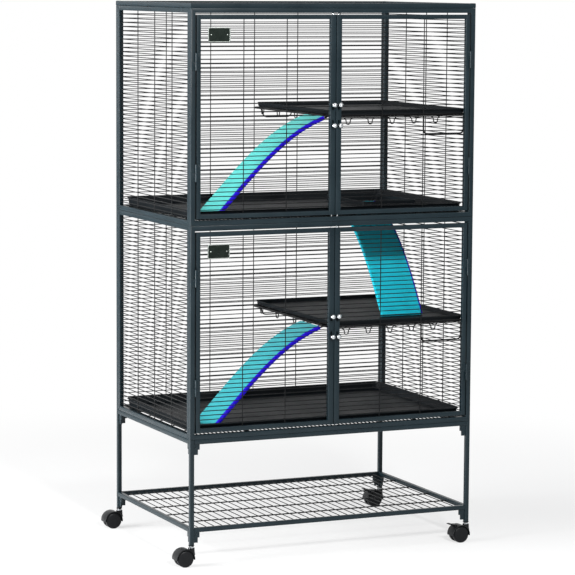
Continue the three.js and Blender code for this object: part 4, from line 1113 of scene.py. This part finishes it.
# A white room: it lights the cage softly, and the camera and mirrors see plain white beyond.
studio = {"tint": "#eef1f4", "ambient": 0.25, "paint": "#f4f4f4", "floorHalf": 40,
          "shadowShare": 0.62, "fadeFrom": 0.9, "fadeTo": 2.6}
world = bpy.data.worlds.new("whiteStudio")
bpy.context.scene.world = world
world.use_nodes = True
sky = world.node_tree
plain = sky.nodes["Background"]
plain.inputs["Color"].default_value = linear(studio["tint"])
plain.inputs["Strength"].default_value = studio["ambient"]
white = addNode(sky, "ShaderNodeBackground", {"Color": (1, 1, 1, 1), "Strength": 1.0})
rays = addNode(sky, "ShaderNodeLightPath")
seen = combined(sky, "MAXIMUM", rays.outputs["Is Camera Ray"], rays.outputs["Is Glossy Ray"])
seen = combined(sky, "MAXIMUM", seen, rays.outputs["Is Transmission Ray"])
both = addNode(sky, "ShaderNodeMixShader", {0: seen, 1: plain.outputs["Background"],
                                            2: white.outputs["Background"]})
sky.links.new(both.outputs["Shader"], sky.nodes["World Output"].inputs["Surface"])

# Each lamp: its place and what it is aimed at in metres, its width in metres and its watts.
lamps = {"sideWindow": ((-4.8, 0.2, 1.5), (0, 0, 0.9), 3.0, 600),
         "frontLamp": ((-0.4, -4.2, 2.75), (0, 0, 0.7), 0.5, 185),
         "overhead": ((-0.3, -0.8, 4.6), (0, 0, 0.8), 3.0, 25)}
for name, (place, target, size, power) in lamps.items():
    lamp = bpy.data.lights.new(name, "AREA")
    lamp.size, lamp.energy = size, power
    holder = bpy.data.objects.new(name, lamp)
    bpy.context.scene.collection.objects.link(holder)
    holder.location = place
    holder.rotation_mode = "QUATERNION"
    holder.rotation_quaternion = (Vector(target) - Vector(place)).to_track_quat("-Z", "Y")

ground = bpy.data.meshes.new("paleFloor")
reach = studio["floorHalf"]
ground.from_pydata([(-reach, -reach, 0), (reach, -reach, 0), (reach, reach, 0),
                    (-reach, reach, 0)], [], [(0, 1, 2, 3)])
groundPiece = bpy.data.objects.new("paleFloor", ground)
bpy.context.scene.collection.objects.link(groundPiece)
# Matt white wall paint on the floor: plain, with the cage's shadow on it.
even = {"Base Color": linear(studio["paint"]), "Roughness": 0.9}
paint, tree, shader, floorPlace = startMaterial("matWhitePaint", even)
glow = addNode(tree, "ShaderNodeEmission", {"Color": (1, 1, 1, 1), "Strength": 1.0})
path = addNode(tree, "ShaderNodeLightPath")
# Near the cage the floor takes its shadow; from 0.9 to 2.6 m off it fades into the white.
away = addNode(tree, "ShaderNodeVectorMath", {0: floorPlace.outputs["Object"]}, operation="LENGTH")
fade = addNode(tree, "ShaderNodeMapRange",
               {"Value": away.outputs["Value"], "From Min": studio["fadeFrom"],
                "From Max": studio["fadeTo"], "To Min": studio["shadowShare"], "To Max": 1.0},
               interpolation_type="SMOOTHSTEP")
share = combined(tree, "MULTIPLY", path.outputs["Is Camera Ray"], fade.outputs["Result"])
blend = addNode(tree, "ShaderNodeMixShader", {0: share, 1: shader.outputs["BSDF"],
                                              2: glow.outputs["Emission"]})
tree.links.new(blend.outputs["Shader"], tree.nodes["Material Output"].inputs["Surface"])
ground.materials.append(paint)

bpy.context.scene.view_settings.view_transform = "Standard"
print("camera, light and floor made")
